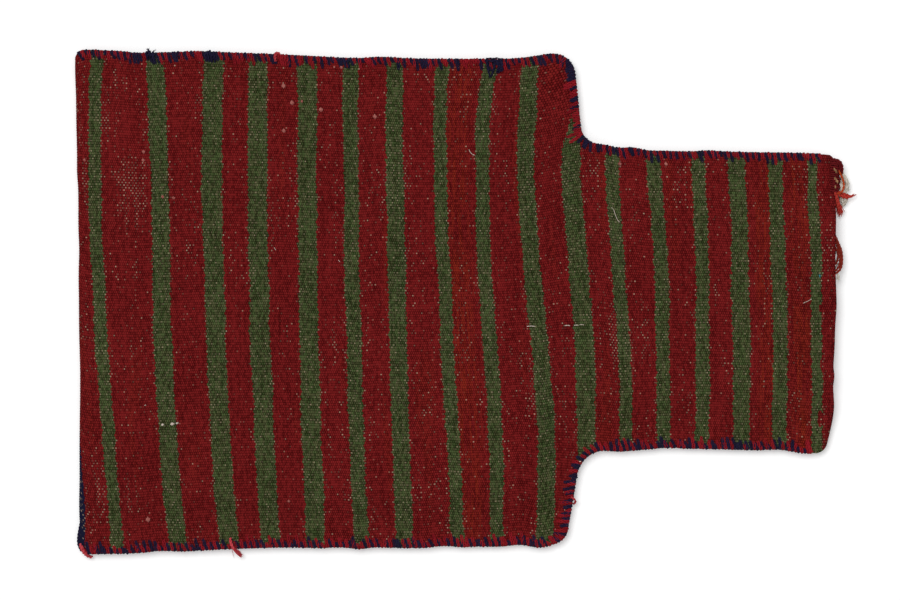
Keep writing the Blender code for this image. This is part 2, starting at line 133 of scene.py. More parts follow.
@dataclass(frozen=True)
class BagPattern:
    """The bag's cut and section. A pair of sizes is for the upper and the lower edge."""

    body_length: float = 0.3975
    neck_length: float = 0.2080
    body_width: float = 0.3900
    neck_width: float = 0.2360
    thickness: float = 0.0024
    row_step: float = 0.0010
    body_space: float = 0.0090
    mouth_space: float = 0.0075
    fold_space: float = 0.0012
    seam_space: float = 0.0003
    seam_lift: float = 0.0019
    belly_ramp: float = 0.0400
    fold_ramp: float = 0.0500
    lift_ramp: float = 0.0200
    neck_ramp: float = 0.0300
    margin: float = 0.0095
    base_corners: tuple[float, float] = (0.0072, 0.0070)
    shoulder_corners: tuple[float, float] = (0.0205, 0.0122)
    neck_fillets: tuple[float, float] = (0.0144, 0.0206)
    mouth_corners: tuple[float, float] = (0.0090, 0.0060)
    shoulder_slants: tuple[float, float] = (0.105, 0.170)
    shoulder_shifts: tuple[float, float] = (0.0006, -0.0028)
    rib_height: float = 0.00030
    base: HandEdge = HandEdge((
        (-1.0, 0.6), (-0.95, 0.7), (-0.89, -0.1), (-0.71, 0.0), (-0.6, -0.1), (-0.46, 0.2), (-0.3, 0.4),
        (-0.154, -0.3), (0.0, -0.6), (0.09, -0.8), (0.215, -0.4), (0.277, -0.9), (0.46, -1.3),
        (0.523, -2.1), (0.585, -2.1), (0.71, -2.6), (0.83, -2.9), (0.95, -3.4), (1.0, -3.4)))
    upper_body: HandEdge = HandEdge((
        (0.03, 6.4), (0.08, 5.4), (0.123, 4.0), (0.18, 4.6), (0.245, 5.3), (0.29, 4.5), (0.33, 3.9),
        (0.4, 2.9), (0.485, 1.1), (0.565, -0.1), (0.605, 0.8), (0.65, -0.1), (0.79, -0.8), (0.89, 0.0),
        (0.94, 2.5), (0.96, 2.8)))
    lower_body: HandEdge = HandEdge((
        (0.03, 5.6), (0.13, 4.3), (0.163, 2.9), (0.205, 3.4), (0.2435, 2.6), (0.33, 1.1), (0.44, 0.2),
        (0.485, 0.7), (0.53, 0.1), (0.565, 1.5), (0.595, 0.2), (0.64, 0.5), (0.69, 0.6), (0.74, -1.0),
        (0.77, -0.1), (0.8, -0.5), (0.847, -0.5), (0.89, -1.9), (0.93, 0.2), (0.96, -3.0)))
    upper_neck: HandEdge = HandEdge((
        (0.0, 9.4), (0.06, 8.6), (0.106, 7.6), (0.164, 5.2), (0.221, 5.2), (0.279, 2.9), (0.337, 2.6),
        (0.45, 2.2), (0.51, 2.8), (0.567, 2.1), (0.8, 1.1), (0.95, 0.3)))
    lower_neck: HandEdge = HandEdge((
        (0.0, -0.8), (0.06, -0.9), (0.106, -0.5), (0.164, 0.5), (0.221, -0.3), (0.279, -1.3),
        (0.337, -2.4), (0.452, -1.8), (0.51, -1.6), (0.683, -0.7), (0.798, -0.8), (0.856, 1.2),
        (0.913, 2.1), (0.96, 1.4)))
    mouth: HandEdge = HandEdge((
        (-1.0, -9.5), (-0.9, -6.4), (-0.83, -4.5), (-0.763, -3.1), (-0.695, -2.4), (-0.627, -2.8),
        (-0.56, -3.2), (-0.49, -2.3), (-0.424, -3.0), (-0.356, -2.5), (-0.288, -2.0), (-0.15, -1.5),
        (-0.017, -0.5), (0.119, -0.9), (0.3, -1.5), (0.458, -1.2), (0.6, -1.0), (0.7, -1.4),
        (0.8, -1.5), (0.93, -0.9), (1.0, -0.2)))

    @property
    def body_rows(self) -> int:
        """Half warps from the middle to the body's edge, an even number."""
        return 2 * round(self.body_width / 4 / self.row_step)

    @property
    def neck_rows(self) -> int:
        """Half warps from the middle to the neck's edge, an even number."""
        return 2 * round(self.neck_width / 4 / self.row_step)

    @property
    def seam_top(self) -> float:
        """Height of the upper wall's outer face along the seams."""
        return self.seam_lift + 2 * self.thickness + self.seam_space

    def body_edge(self, along: np.ndarray, side: int) -> np.ndarray:
        """The body's edge across the bag, for side +1 or -1.

        Args:
            along: distance from the base fold.
            side: +1 for the upper edge, -1 for the lower one.

        Returns:
            Places across the bag.
        """
        wander = self.upper_body if side > 0 else self.lower_body
        half = self.body_width / 2 + wander.at(along / self.body_length)
        inset = np.maximum(along - self.base.at(side), 0.0)
        return side * (half - rounding(self.base_corners[side < 0], inset))

    def neck_edge(self, along: np.ndarray, side: int) -> np.ndarray:
        """The neck's edge across the bag, for side +1 or -1."""
        wander = self.upper_neck if side > 0 else self.lower_neck
        return side * (self.neck_width / 2 + wander.at((along - self.body_length) / self.neck_length))

    def across(self, row: np.ndarray, along: np.ndarray) -> np.ndarray:
        """Where a row lies across the bag: the warps spread and close up with its edges.

        Args:
            row: half warps counted from the middle.
            along: distance from the base fold.

        Returns:
            Places across the bag, in metres.
        """
        run = self.neck_ramp + max(self.neck_fillets)
        share = smooth((along - self.body_length + self.neck_ramp) / run)
        (body_high, body_low), (neck_high, neck_low) = (
            (edge(along, 1), edge(along, -1)) for edge in (self.body_edge, self.neck_edge))
        middle = between(body_high + body_low, neck_high + neck_low, share) / 2
        body_step = (body_high - body_low) / 2 / self.body_rows
        neck_step = (neck_high - neck_low) / 2 / self.neck_rows
        return middle + row * between(body_step, neck_step, share)

    def fold_start(self, row: np.ndarray) -> np.ndarray:
        """How far the outside of the base fold lies from its nominal place."""
        return self.base.at(row / self.body_rows)

    def shoulder_end(self, row: np.ndarray) -> np.ndarray:
        """Where a row leaves the body: at the shoulder, or at the foot of the neck.

        Args:
            row: half warps counted from the middle.

        Returns:
            Distance from the base fold.
        """
        shoulder = (self.body_width - self.neck_width) / 2
        inset = np.minimum(np.maximum(self.body_rows - np.abs(row), 0) * self.row_step, shoulder)
        rise = np.maximum(np.abs(row) - self.neck_rows, 0) * self.row_step
        slant = np.where(row > 0, *self.shoulder_slants) * (inset - shoulder / 2)
        fillet = np.where(row > 0, *(rounding(radius, rise) for radius in self.neck_fillets))
        corner = np.where(row > 0, *(rounding(radius, inset) for radius in self.shoulder_corners))
        share = np.clip((row / self.neck_rows + 1) / 2, 0.0, 1.0)
        shift = between(self.shoulder_shifts[1], self.shoulder_shifts[0], share)
        return self.body_length + shift + slant + (fillet - corner)

    def mouth_end(self, row: np.ndarray) -> np.ndarray:
        """Where a row ends at the mouth."""
        inset = (self.neck_rows - np.abs(row)) * self.row_step
        bends = np.where(row > 0, *(rounding(radius, inset) for radius in self.mouth_corners))
        return self.body_length + self.neck_length + self.mouth.at(row / self.neck_rows) - bends

    def seam_line(self, side: int) -> np.ndarray:
        """The cloth's edge along one seam in plan, from the base corner to the mouth.

        Args:
            side: +1 for the upper seam, -1 for the lower one.

        Returns:
            Points (along, across) about a millimetre apart at the bends.
        """
        step = 0.002
        outer, inner = float(side * self.body_rows), float(side * self.neck_rows)
        body = np.arange(self.fold_start(outer) + self.base_corners[side < 0] * 0.45,
                         self.shoulder_end(outer), step)
        rows = side * np.arange(self.body_rows, self.neck_rows - 0.01, -0.25)
        ends = self.shoulder_end(rows)
        neck = np.arange(self.shoulder_end(inner) + step, self.mouth_end(inner) - 0.001, step)
        return np.concatenate([np.column_stack((run, self.across(row, run)))
                               for row, run in ((outer, body), (rows, ends), (inner, neck))])


class SeamMap:
    """Tells how far any point of the cloth lies from the nearest seam."""

    def __init__(self, pattern: BagPattern) -> None:
        """Fill the search tree with points of both seams.

        Args:
            pattern: the bag's cut, which has the seams.
        """
        points = np.concatenate([pattern.seam_line(1), pattern.seam_line(-1)])
        self.tree = KDTree(len(points))
        for index, (along, sideways) in enumerate(points):
            self.tree.insert((along, sideways, 0.0), index)
        self.tree.balance()

    def distance(self, along: np.ndarray, sideways: np.ndarray) -> np.ndarray:
        """Distance in plan from each point to the nearest seam."""
        flat = [self.tree.find((a, b, 0.0))[2] for a, b in zip(along.ravel(), sideways.ravel())]
        return np.array(flat).reshape(along.shape)


class Surface:
    """The heights of the cloth's two walls, with the soft waves of a bag laid flat."""

    WAVES = ((0.00042, 61.0, 23.0, 0.4), (0.00034, -38.0, 57.0, 2.1), (0.00028, 104.0, -41.0, 4.4),
             (0.00022, 33.0, 128.0, 1.2), (0.00016, 171.0, 96.0, 5.3))

    def __init__(self, pattern: BagPattern) -> None:
        """Keep the pattern and prepare the seam map."""
        self.pattern = pattern
        self.seams = SeamMap(pattern)

    def heights(self, row: np.ndarray, along: np.ndarray,
                sideways: np.ndarray) -> tuple[np.ndarray, np.ndarray, np.ndarray]:
        """Section of the bag at each point.

        Args:
            row: half warps counted from the middle.
            along: distance from the base fold.
            sideways: place across the bag.

        Returns:
            The underside's height, the clear space between the walls, and the upper wall's wave.
        """
        cut = self.pattern
        inward = self.seams.distance(along, sideways) - cut.margin
        lift = cut.seam_lift * (1 - smooth(inward / cut.lift_ramp))
        end = cut.body_length + cut.neck_length
        toward_mouth = smooth((along - end + cut.belly_ramp) / cut.belly_ramp)
        full = between(cut.body_space, cut.mouth_space, toward_mouth)
        space = between(cut.fold_space, full, smooth((along - cut.fold_start(row)) / cut.fold_ramp))
        space = between(cut.seam_space, space, smooth(inward / cut.belly_ramp))
        wave = sum(size * np.sin(a * along + b * sideways + start) for size, a, b, start in self.WAVES)
        return lift, space, wave * smooth((inward + 0.004) / 0.02) * smooth(along / 0.03)

    def top(self, along: float, sideways: float) -> float:
        """Height of the upper wall's outer face at one point, at the crest of a rib."""
        a, b = np.array([along]), np.array([sideways])
        lift, space, wave = self.heights(b / self.pattern.row_step, a, b)
        return float((lift + space + wave)[0]) + 2 * self.pattern.thickness + self.pattern.rib_height * CREST



@dataclass(frozen=True)
class Stripe:
    """A green cross stripe, in millimetres: its middle, width and lean, bow, sway and upper flare."""

    middle: float
    width: float
    lean: float
    bow: float
    sway: float = 0.0
    half_height: float = 180.0
    flare: float = 0.0

    def centre(self, sideways: float) -> float:
        """The stripe's centre line at a place across the bag, in metres.

        Args:
            sideways: the place across the bag.

        Returns:
            Distance from the base fold, in metres.
        """
        share = max(-1.15, min(1.15, sideways / (self.half_height * MILLIMETRE)))
        curve = self.bow * share ** 2 + self.sway * 2.667 * (share - share ** 3)
        swing = self.flare * max(0.0, sideways / MILLIMETRE - FLARE_START)
        return (self.middle + self.lean * share + curve + swing) * MILLIMETRE


STRIPES = (
    Stripe(16.2, 10.0, -8.0, 5.5, -1.0),
    Stripe(66.9, 14.3, -8.1, 3.0, 1.2),
    Stripe(108.7, 15.9, -6.1, 4.2),
    Stripe(144.6, 15.8, -4.6, 3.4),
    Stripe(183.8, 15.4, -3.0, 1.7),
    Stripe(219.1, 12.2, -4.0, 2.4),
    Stripe(255.0, 13.8, -4.0, 1.0),
    Stripe(293.0, 10.6, -6.0, 3.0, -1.4),
    Stripe(326.3, 11.2, -3.5, 4.2, -3.2),
    Stripe(365.0, 14.2, -6.5, 1.5, -4.2),
    Stripe(401.5, 15.2, -6.0, -1.5, -1.0, NECK_HALF, 0.36),
    Stripe(432.8, 10.4, -5.2, -0.5, -0.8, NECK_HALF),
    Stripe(466.0, 11.4, -3.7, -1.7, 0.3, NECK_HALF),
    Stripe(498.6, 11.0, -1.0, -1.6, 0.0, NECK_HALF),
    Stripe(529.0, 14.0, -2.0, -0.6, 0.0, NECK_HALF),
    Stripe(560.0, 12.0, -1.6, -1.0, 0.0, NECK_HALF),
    Stripe(589.6, 8.6, -1.8, -1.0, 0.0, NECK_HALF),
)


class Wire:
    """A socket of a node tree that Python expressions can use."""

    def __init__(self, graph: "Graph", socket: bpy.types.NodeSocket) -> None:
        """Keep the socket and the graph that new nodes go to."""
        self.graph = graph
        self.socket = socket

    def maths(self, operation: str, *others: "Number") -> "Wire":
        """Add a Math node that takes this wire first."""
        return self.graph.maths(operation, self, *others)

    def __add__(self, other: "Number") -> "Wire":
        """Sum."""
        return self.maths("ADD", other)

    def __radd__(self, other: "Number") -> "Wire":
        """Sum, from the right."""
        return self.graph.maths("ADD", other, self)

    def __sub__(self, other: "Number") -> "Wire":
        """Difference."""
        return self.maths("SUBTRACT", other)

    def __rsub__(self, other: "Number") -> "Wire":
        """Difference, from the right."""
        return self.graph.maths("SUBTRACT", other, self)

    def __mul__(self, other: "Number") -> "Wire":
        """Product."""
        return self.maths("MULTIPLY", other)

    def __rmul__(self, other: "Number") -> "Wire":
        """Product, from the right."""
        return self.graph.maths("MULTIPLY", other, self)

    def __truediv__(self, other: "Number") -> "Wire":
        """Quotient."""
        return self.maths("DIVIDE", other)

    def __abs__(self) -> "Wire":
        """Size without sign."""
        return self.maths("ABSOLUTE")

    def floor(self) -> "Wire":
        """Whole part."""
        return self.maths("FLOOR")

    def fraction(self) -> "Wire":
        """Part after the point."""
        return self.maths("FRACT")

    def least(self, other: "Number") -> "Wire":
        """The smaller of two."""
        return self.maths("MINIMUM", other)

    def most(self, other: "Number") -> "Wire":
        """The larger of two."""
        return self.maths("MAXIMUM", other)

    def above(self, other: "Number") -> "Wire":
        """1 where this is larger than the other, else 0."""
        return self.maths("GREATER_THAN", other)

    def eased(self, start: float, end: float) -> "Wire":
        """0 up to start, 1 from end on, and a smooth step between them."""
        return self.graph.wire("ShaderNodeMapRange", {"interpolation_type": "SMOOTHSTEP"},
                               {"Value": self, "From Min": start, "From Max": end})


Number = Union[Wire, float, int]


class Graph:
    """Builds a node tree: shader or geometry."""

    def __init__(self, tree: bpy.types.NodeTree) -> None:
        """Keep the tree that nodes go to."""
        self.tree = tree

    def node(self, kind: str, settings: Mapping[str, Any] | None = None,
             values: Mapping[Any, Any] | None = None) -> bpy.types.Node:
        """Add one node of any kind.

        Args:
            kind: the node's type name.
            settings: its own settings, which are set first.
            values: what each input gets, by name or number: a wire, a socket or a plain value.

        Returns:
            The node.
        """
        made = self.tree.nodes.new(kind)
        for name, value in (settings or {}).items():
            setattr(made, name, value)
        for key, value in (values or {}).items():
            self.feed(made.inputs[key], value)
        return made

    def feed(self, target: bpy.types.NodeSocket, value: Any) -> None:
        """Link a wire or socket to an input, or set its plain value.

        Args:
            target: the input.
            value: a wire, a socket or a plain value.
        """
        if isinstance(value, Wire):
            self.tree.links.new(value.socket, target)
        elif isinstance(value, bpy.types.NodeSocket):
            self.tree.links.new(value, target)
        elif isinstance(value, tuple) and target.type == "RGBA" and len(value) == 3:
            target.default_value = (*value, 1.0)
        else:
            target.default_value = value

    def wire(self, kind: str, settings: Mapping[str, Any] | None = None,
             values: Mapping[Any, Any] | None = None, output: Any = 0) -> Wire:
        """Add a node and give one of its outputs as a wire."""
        return Wire(self, self.node(kind, settings, values).outputs[output])

    def maths(self, operation: str, *values: Number) -> Wire:
        """Add a Math node."""
        return self.wire("ShaderNodeMath", {"operation": operation}, dict(enumerate(values)))

    def vector(self, x: Number, y: Number, z: Number = 0.0) -> Wire:
        """Put three numbers together as a vector."""
        return self.wire("ShaderNodeCombineXYZ", None, {"X": x, "Y": y, "Z": z})

    def parts(self, vector: Any) -> list[Wire]:
        """The three numbers of a vector."""
        made = self.node("ShaderNodeSeparateXYZ", None, {"Vector": vector})
        return [Wire(self, socket) for socket in made.outputs]

    def arrow(self, operation: str, *values: Any) -> Wire:
        """Add a Vector Math node."""
        return self.wire("ShaderNodeVectorMath", {"operation": operation}, dict(enumerate(values)))

    def scaled(self, vector: Wire, scale: Wire) -> Wire:
        """A vector times a number."""
        return self.wire("ShaderNodeVectorMath", {"operation": "SCALE"}, {"Vector": vector, "Scale": scale})

    def blend(self, share: Number, first: Any, second: Any, way: str = "MIX") -> Wire:
        """Mix two colours, from the first at share 0 to the second at 1."""
        return self.wire("ShaderNodeMix", {"data_type": "RGBA", "blend_type": way, "clamp_factor": True},
                         {0: share, 6: first, 7: second}, 2)

    def attribute(self, name: str, output: str) -> Wire:
        """Read a mesh attribute in a material."""
        return self.wire("ShaderNodeAttribute", {"attribute_name": name}, None, output)

    def noise(self, place: Wire, scale: float, detail: float = 2.0) -> Wire:
        """Soft noise between about 0.3 and 0.7, with 0.5 as its middle."""
        return self.wire("ShaderNodeTexNoise", {"noise_dimensions": "3D"},
                         {"Vector": place, "Scale": scale, "Detail": detail})

    def dice(self, place: Wire) -> Wire:
        """A random number from 0 to 1 for each different vector."""
        return self.wire("ShaderNodeTexWhiteNoise", {"noise_dimensions": "3D"}, {"Vector": place})


class WoolMaterial:
    """A matt wool material with an empty Principled shader to dress."""

    SPECULAR = 0.06

    def __init__(self, name: str, roughness: float) -> None:
        """Make the material and its shader.

        Args:
            name: the material's name.
            roughness: the shader's roughness.
        """
        self.material = bpy.data.materials.new(name)
        self.material.use_nodes = True
        self.graph = Graph(self.material.node_tree)
        self.shader = self.material.node_tree.nodes["Principled BSDF"]
        self.shader.inputs["Roughness"].default_value = roughness
        self.shader.inputs["Specular IOR Level"].default_value = self.SPECULAR

    def dress(self, colour: Wire, height: Wire, depth: float, strength: float) -> bpy.types.Material:
        """Give the shader its colour and its bump.

        Args:
            colour: the base colour.
            height: the bump's height, about 0 to 1.
            depth: how deep a height of 1 is, in metres.
            strength: how much of the bump shows.

        Returns:
            The finished material.
        """
        self.graph.feed(self.shader.inputs["Base Color"], colour)
        bump = self.graph.wire("ShaderNodeBump", None,
                               {"Strength": strength, "Distance": depth, "Height": height})
        self.graph.feed(self.shader.inputs["Normal"], bump)
        return self.material


@dataclass(frozen=True)
class WeaveFinish:
    """The striped weft-faced weave: its colours, its beads and the places where it differs.

    Each pair of colours is its darkest and its lightest; the blend between them holds the yarn's own
    uneven tone and painted shade in the grooves between warps and between beads. A worn patch or a
    dart is an ellipse: its middle from the fold and across the bag, and its half sizes.
    """

    red: tuple[Colour, Colour] = ((0.0440, 0.0006, 0.0010), (0.1960, 0.0120, 0.0122))
    orange: tuple[Colour, Colour] = ((0.0500, 0.0014, 0.0010), (0.2300, 0.0200, 0.0085))
    olive: tuple[Colour, Colour] = ((0.0096, 0.0115, 0.0020), (0.0890, 0.0965, 0.0400))
    leaf: tuple[Colour, Colour] = ((0.0075, 0.0124, 0.0018), (0.0730, 0.1020, 0.0348))
    navy: Colour = (0.0080, 0.0085, 0.0260)
    cream: Colour = (0.50, 0.37, 0.26)
    bead: float = 0.00150
    bare_step: float = 0.0027
    stripe_drift: float = 0.0044
    stripe_jag: float = 0.0010
    bead_variety: float = 0.66
    # rib_shade and bead_shade set the painted shade: darker colour in the grooves between warps and between
    # beads.
    rib_shade: float = 0.58
    bead_shade: float = 0.98
    row_variety: float = 0.14
    streakiness: float = 0.60
    cloudiness: float = 0.50
    fleckiness: float = 1.15
    bump_depth: float = 0.00042
    worn: tuple[Ellipse, ...] = (
        (0.006, 0.130, 0.010, 0.066), (0.034, 0.157, 0.020, 0.030), (0.042, 0.086, 0.014, 0.045),
        (0.010, -0.150, 0.010, 0.044), (0.040, -0.155, 0.011, 0.017), (0.145, 0.160, 0.010, 0.032),
        (0.256, 0.090, 0.012, 0.100), (0.320, 0.155, 0.018, 0.018), (0.366, -0.030, 0.016, 0.070),
        (0.402, 0.104, 0.018, 0.024), (0.434, -0.030, 0.022, 0.046), (0.482, 0.092, 0.024, 0.020),
        (0.506, -0.010, 0.008, 0.030), (0.557, 0.000, 0.010, 0.070), (0.601, 0.044, 0.003, 0.030))
    darts: tuple[Ellipse, ...] = (
        (0.5936, -0.0044, 0.0020, 0.0030), (0.5946, -0.0492, 0.0022, 0.0054),
        (0.5930, -0.0936, 0.0022, 0.0070), (0.5932, 0.0950, 0.0031, 0.0190),
        (0.5806, 0.1000, 0.0026, 0.0210))
    orange_bands: tuple[tuple[float, float], ...] = ((0.306, 0.010), (0.549, 0.008), (0.577, 0.008))

    @staticmethod
    def from_middle(from_fold: Wire, sideways: Wire, patch: Ellipse) -> Wire:
        """The squared distance from a patch's middle, which is 1 on its rim."""
        along = (from_fold - patch[0]) / patch[2]
        across = (sideways - patch[1]) / patch[3]
        return along * along + across * across

    def build(self) -> bpy.types.Material:
        """Make the cloth's material, which reads each vertex's place in the weave.

        Returns:
            The material.
        """
        wool = WoolMaterial("striped_weave", 0.95)
        graph = wool.graph
        along, warps, wall = graph.parts(graph.attribute("weave", "Vector"))
        spot = graph.wire("ShaderNodeTexCoord", None, None, "Object")
        x, sideways, _ = graph.parts(spot)
        from_fold = x + ORIGIN_FROM_FOLD

        warp_shift = warps + 0.5
        warp = warp_shift.floor()
        over = warp_shift.fraction()
        parity = (warp * 0.5).fraction() * 2
        sway = (graph.noise(graph.vector(along * 40, warps * 0.21, wall), 1.0, 1.0) - 0.5) * 0.9
        place = along / self.bead + parity * 0.5 + sway
        pick = place.floor()
        rib = (over * math.pi).maths("SINE")
        swell = (place.fraction() * math.pi).maths("SINE")
        cell = graph.dice(graph.vector(pick, warp, wall))

        centre = (pick + 0.5 - parity * 0.5 - sway) * self.bead
        drift = (graph.noise(graph.vector(along * 22, warps * 0.034, wall), 1.0) - 0.5) * self.stripe_drift
        jag = (graph.dice(graph.vector(warp, (along * 60).floor(), wall)) - 0.5) * self.stripe_jag
        where = centre + drift + jag
        edge = reduce(Wire.least, [abs(where - stripe.middle * MILLIMETRE) - stripe.width * MILLIMETRE / 2
                                   for stripe in STRIPES])
        green = 1 - edge.above(0.0)
        for dart in self.darts:
            green = green * (self.from_middle(from_fold, sideways, dart) + (cell - 0.5) * 0.6).above(1.0)

        warm = reduce(Wire.most, [1 - abs(along - middle).eased(half * 0.5, half * 1.3)
                                  for middle, half in self.orange_bands])
        row_dice = graph.dice(graph.vector((along / (self.bead * 0.5)).floor(), wall, 7.0))
        streak = graph.noise(graph.vector(along * 900, warps * 0.05, wall), 1.0)
        cloud = graph.noise(spot, 26.0, 4.0)
        fleck = graph.noise(spot, 1500.0)
        slow = graph.noise(graph.vector(along * 75, warps * 0.012, wall), 1.0)
        warm = warm * streak.eased(0.42, 0.60) * 0.75 + slow.eased(0.56, 0.70) * 0.22
        # The rib and swell terms are painted shade, darker in the grooves between warps and between beads;
        # the other terms are the wool's own uneven tone.
        level = (0.50 + (cell - 0.5) * (self.bead_variety + green * 0.10)
                 + (rib - 0.64) * self.rib_shade + (swell - 0.64) * self.bead_shade
                 + (row_dice - 0.5) * self.row_variety + (streak - 0.5) * self.streakiness
                 + (cloud - 0.5) * (self.cloudiness - green * 0.30) + (fleck - 0.5) * self.fleckiness)
        level = level - green * 0.06
        red, orange, olive, leaf = (graph.blend(level, *pair)
                                    for pair in (self.red, self.orange, self.olive, self.leaf))
        hue = graph.dice(graph.vector(warp, pick, wall + 5.0))
        base = graph.blend(green, graph.blend(warm, red, orange),
                           graph.blend(hue.eased(0.3, 0.7), olive, leaf))

        band_width = (1 - sideways.eased(-0.175, -0.080)) * 0.0054 - 0.0008
        dark_band = (band_width + (cell - 0.5) * 0.0012).above(from_fold) * (1 - sideways.above(-0.084))
        base = graph.blend(dark_band, base, self.navy)

        loose = graph.noise(graph.vector(along * 260, warps * 0.035, wall), 1.0)
        patch = graph.noise(spot, 14.0)
        near_edge = 1 - abs(edge).eased(0.0004, 0.0026)
        worn = reduce(Wire.most, [1 - self.from_middle(from_fold, sideways, spoiled).eased(0.25, 1.3)
                                  for spoiled in self.worn])
        crowd = loose.eased(0.44, 0.72) * (patch.eased(0.36, 0.66) * 0.45 + worn * 0.90)
        crowd = crowd + near_edge * (0.22 + green * 0.30) + green * 0.22 + 0.085
        grid = along / self.bare_step + parity * 0.5 + sway * 0.4
        knot = graph.dice(graph.vector(grid.floor(), warp, wall + 3.0))
        gap = (grid.fraction() - 0.5) * (self.bare_step / MILLIMETRE)
        rise = (over - 0.5) * 2.0
        dot = 1 - (gap * gap + rise * rise * 0.9).maths("SQRT").eased(0.18, 0.76)
        shown = (crowd - knot).eased(-0.02, 0.12) * dot * (0.90 - green * 0.25)
        shade = graph.dice(graph.vector(warp, grid.floor(), wall + 9.0))
        pale_level = 0.16 + shade * shade * 0.74
        pale = graph.blend(1.0, self.cream, graph.vector(pale_level, pale_level, pale_level), "MULTIPLY")
        height = rib * 0.35 + swell * rib * 0.50 + (fleck - 0.5) * 0.5 + shown * 0.25
        return wool.dress(graph.blend(shown, base, pale), height, self.bump_depth, 0.9)


@dataclass(frozen=True)
class YarnFinish:
    """Spun wool yarn of one colour, from its darkest fibres to its most faded ones."""

    name: str
    colour: Colour
    faded: Colour

    def build(self) -> bpy.types.Material:
        """Make the yarn's material, with fibres that run round each ply.

        Returns:
            The material.
        """
        wool = WoolMaterial(self.name, 0.90)
        graph = wool.graph
        run, turn, tint = (graph.attribute(name, "Fac") for name in ("run", "turn", "tint"))
        spot = graph.wire("ShaderNodeTexCoord", None, None, "Object")
        fibre = graph.noise(graph.vector(turn * 9 + run * 1400, run * 260, tint * 31), 1.0, 3.0)
        mottle = graph.noise(spot, 480.0, 3.0)
        level = 0.42 + tint * 0.45 + (fibre - 0.5) * 1.5 + (mottle - 0.5) * 1.1
        base = graph.blend(level.most(0.0).least(1.0), self.colour, self.faded)
        return wool.dress(base, fibre, 0.00030, 0.8)


class Finish(Enum):
    """The yarns of this bag."""

    RED = YarnFinish("spun_red_yarn", (0.095, 0.0030, 0.0050), (0.300, 0.0120, 0.0200))
    BRIGHT_RED = YarnFinish("spun_bright_red_yarn", (0.240, 0.0110, 0.0150), (0.600, 0.0700, 0.0850))
    FLAME = YarnFinish("spun_flame_yarn", (0.200, 0.0090, 0.0080), (0.560, 0.0560, 0.0400))
    NAVY = YarnFinish("spun_navy_yarn", (0.0045, 0.0040, 0.0130), (0.0170, 0.0140, 0.0420))
    ORANGE = YarnFinish("spun_orange_yarn", (0.260, 0.0200, 0.0070), (0.520, 0.0800, 0.0220))
    RUST = YarnFinish("spun_rust_yarn", (0.085, 0.0060, 0.0045), (0.225, 0.0260, 0.0150))
    DARK_RED = YarnFinish("spun_dark_red_yarn", (0.060, 0.0040, 0.0050), (0.170, 0.0120, 0.0150))
    WOOL = YarnFinish("spun_grey_wool", (0.340, 0.290, 0.235), (0.780, 0.720, 0.630))
    TAN = YarnFinish("spun_tan_wool", (0.100, 0.0480, 0.0220), (0.380, 0.220, 0.110))
    CREAM = YarnFinish("spun_cream_wool", (0.300, 0.230, 0.180), (0.700, 0.600, 0.520))
    SLUB = YarnFinish("spun_pink_slub", (0.190, 0.0350, 0.0320), (0.430, 0.155, 0.130))
    BLUE = YarnFinish("spun_blue_wool", (0.020, 0.140, 0.180), (0.060, 0.300, 0.340))

    def material(self) -> bpy.types.Material:
        """The yarn's material, made once."""
        return bpy.data.materials.get(self.value.name) or self.value.build()


@dataclass
class Strand:
    """One yarn's route, with its thickness along it and its tint."""

    route: Sequence[Place]
    thick: Thickness = 1.0
    tint: float = 0.5

    def thicknesses(self) -> list[float]:
        """The thickness at each point of the route.

        Returns:
            One number for each point, as a share of the yarn's own thickness.
        """
        if isinstance(self.thick, (int, float)):
            return [float(self.thick)] * len(self.route)
        shares = np.linspace(0, 1, len(self.route))
        return list(np.interp(shares, np.linspace(0, 1, len(self.thick)), self.thick))


def curved(points: Sequence[Place], steps: int = 6) -> list[Place]:
    """A smooth route through a few chosen points.

    Args:
        points: the points that the route passes.
        steps: new points for each stretch.

    Returns:
        The route, on a Catmull-Rom curve.
    """
    given = [Vector(point) for point in points]
    given = [given[0] * 2 - given[1]] + given + [given[-1] * 2 - given[-2]]
    route = []
    for before, start, end, after in zip(given, given[1:], given[2:], given[3:]):
        bend = 2 * before - 5 * start + 4 * end - after
        turn = 3 * start - before - 3 * end + after
        for step in range(steps):
            t = step / steps
            route.append(tuple(0.5 * (2 * start + (end - before) * t + bend * t ** 2 + turn * t ** 3)))
    return route + [tuple(given[-2])]


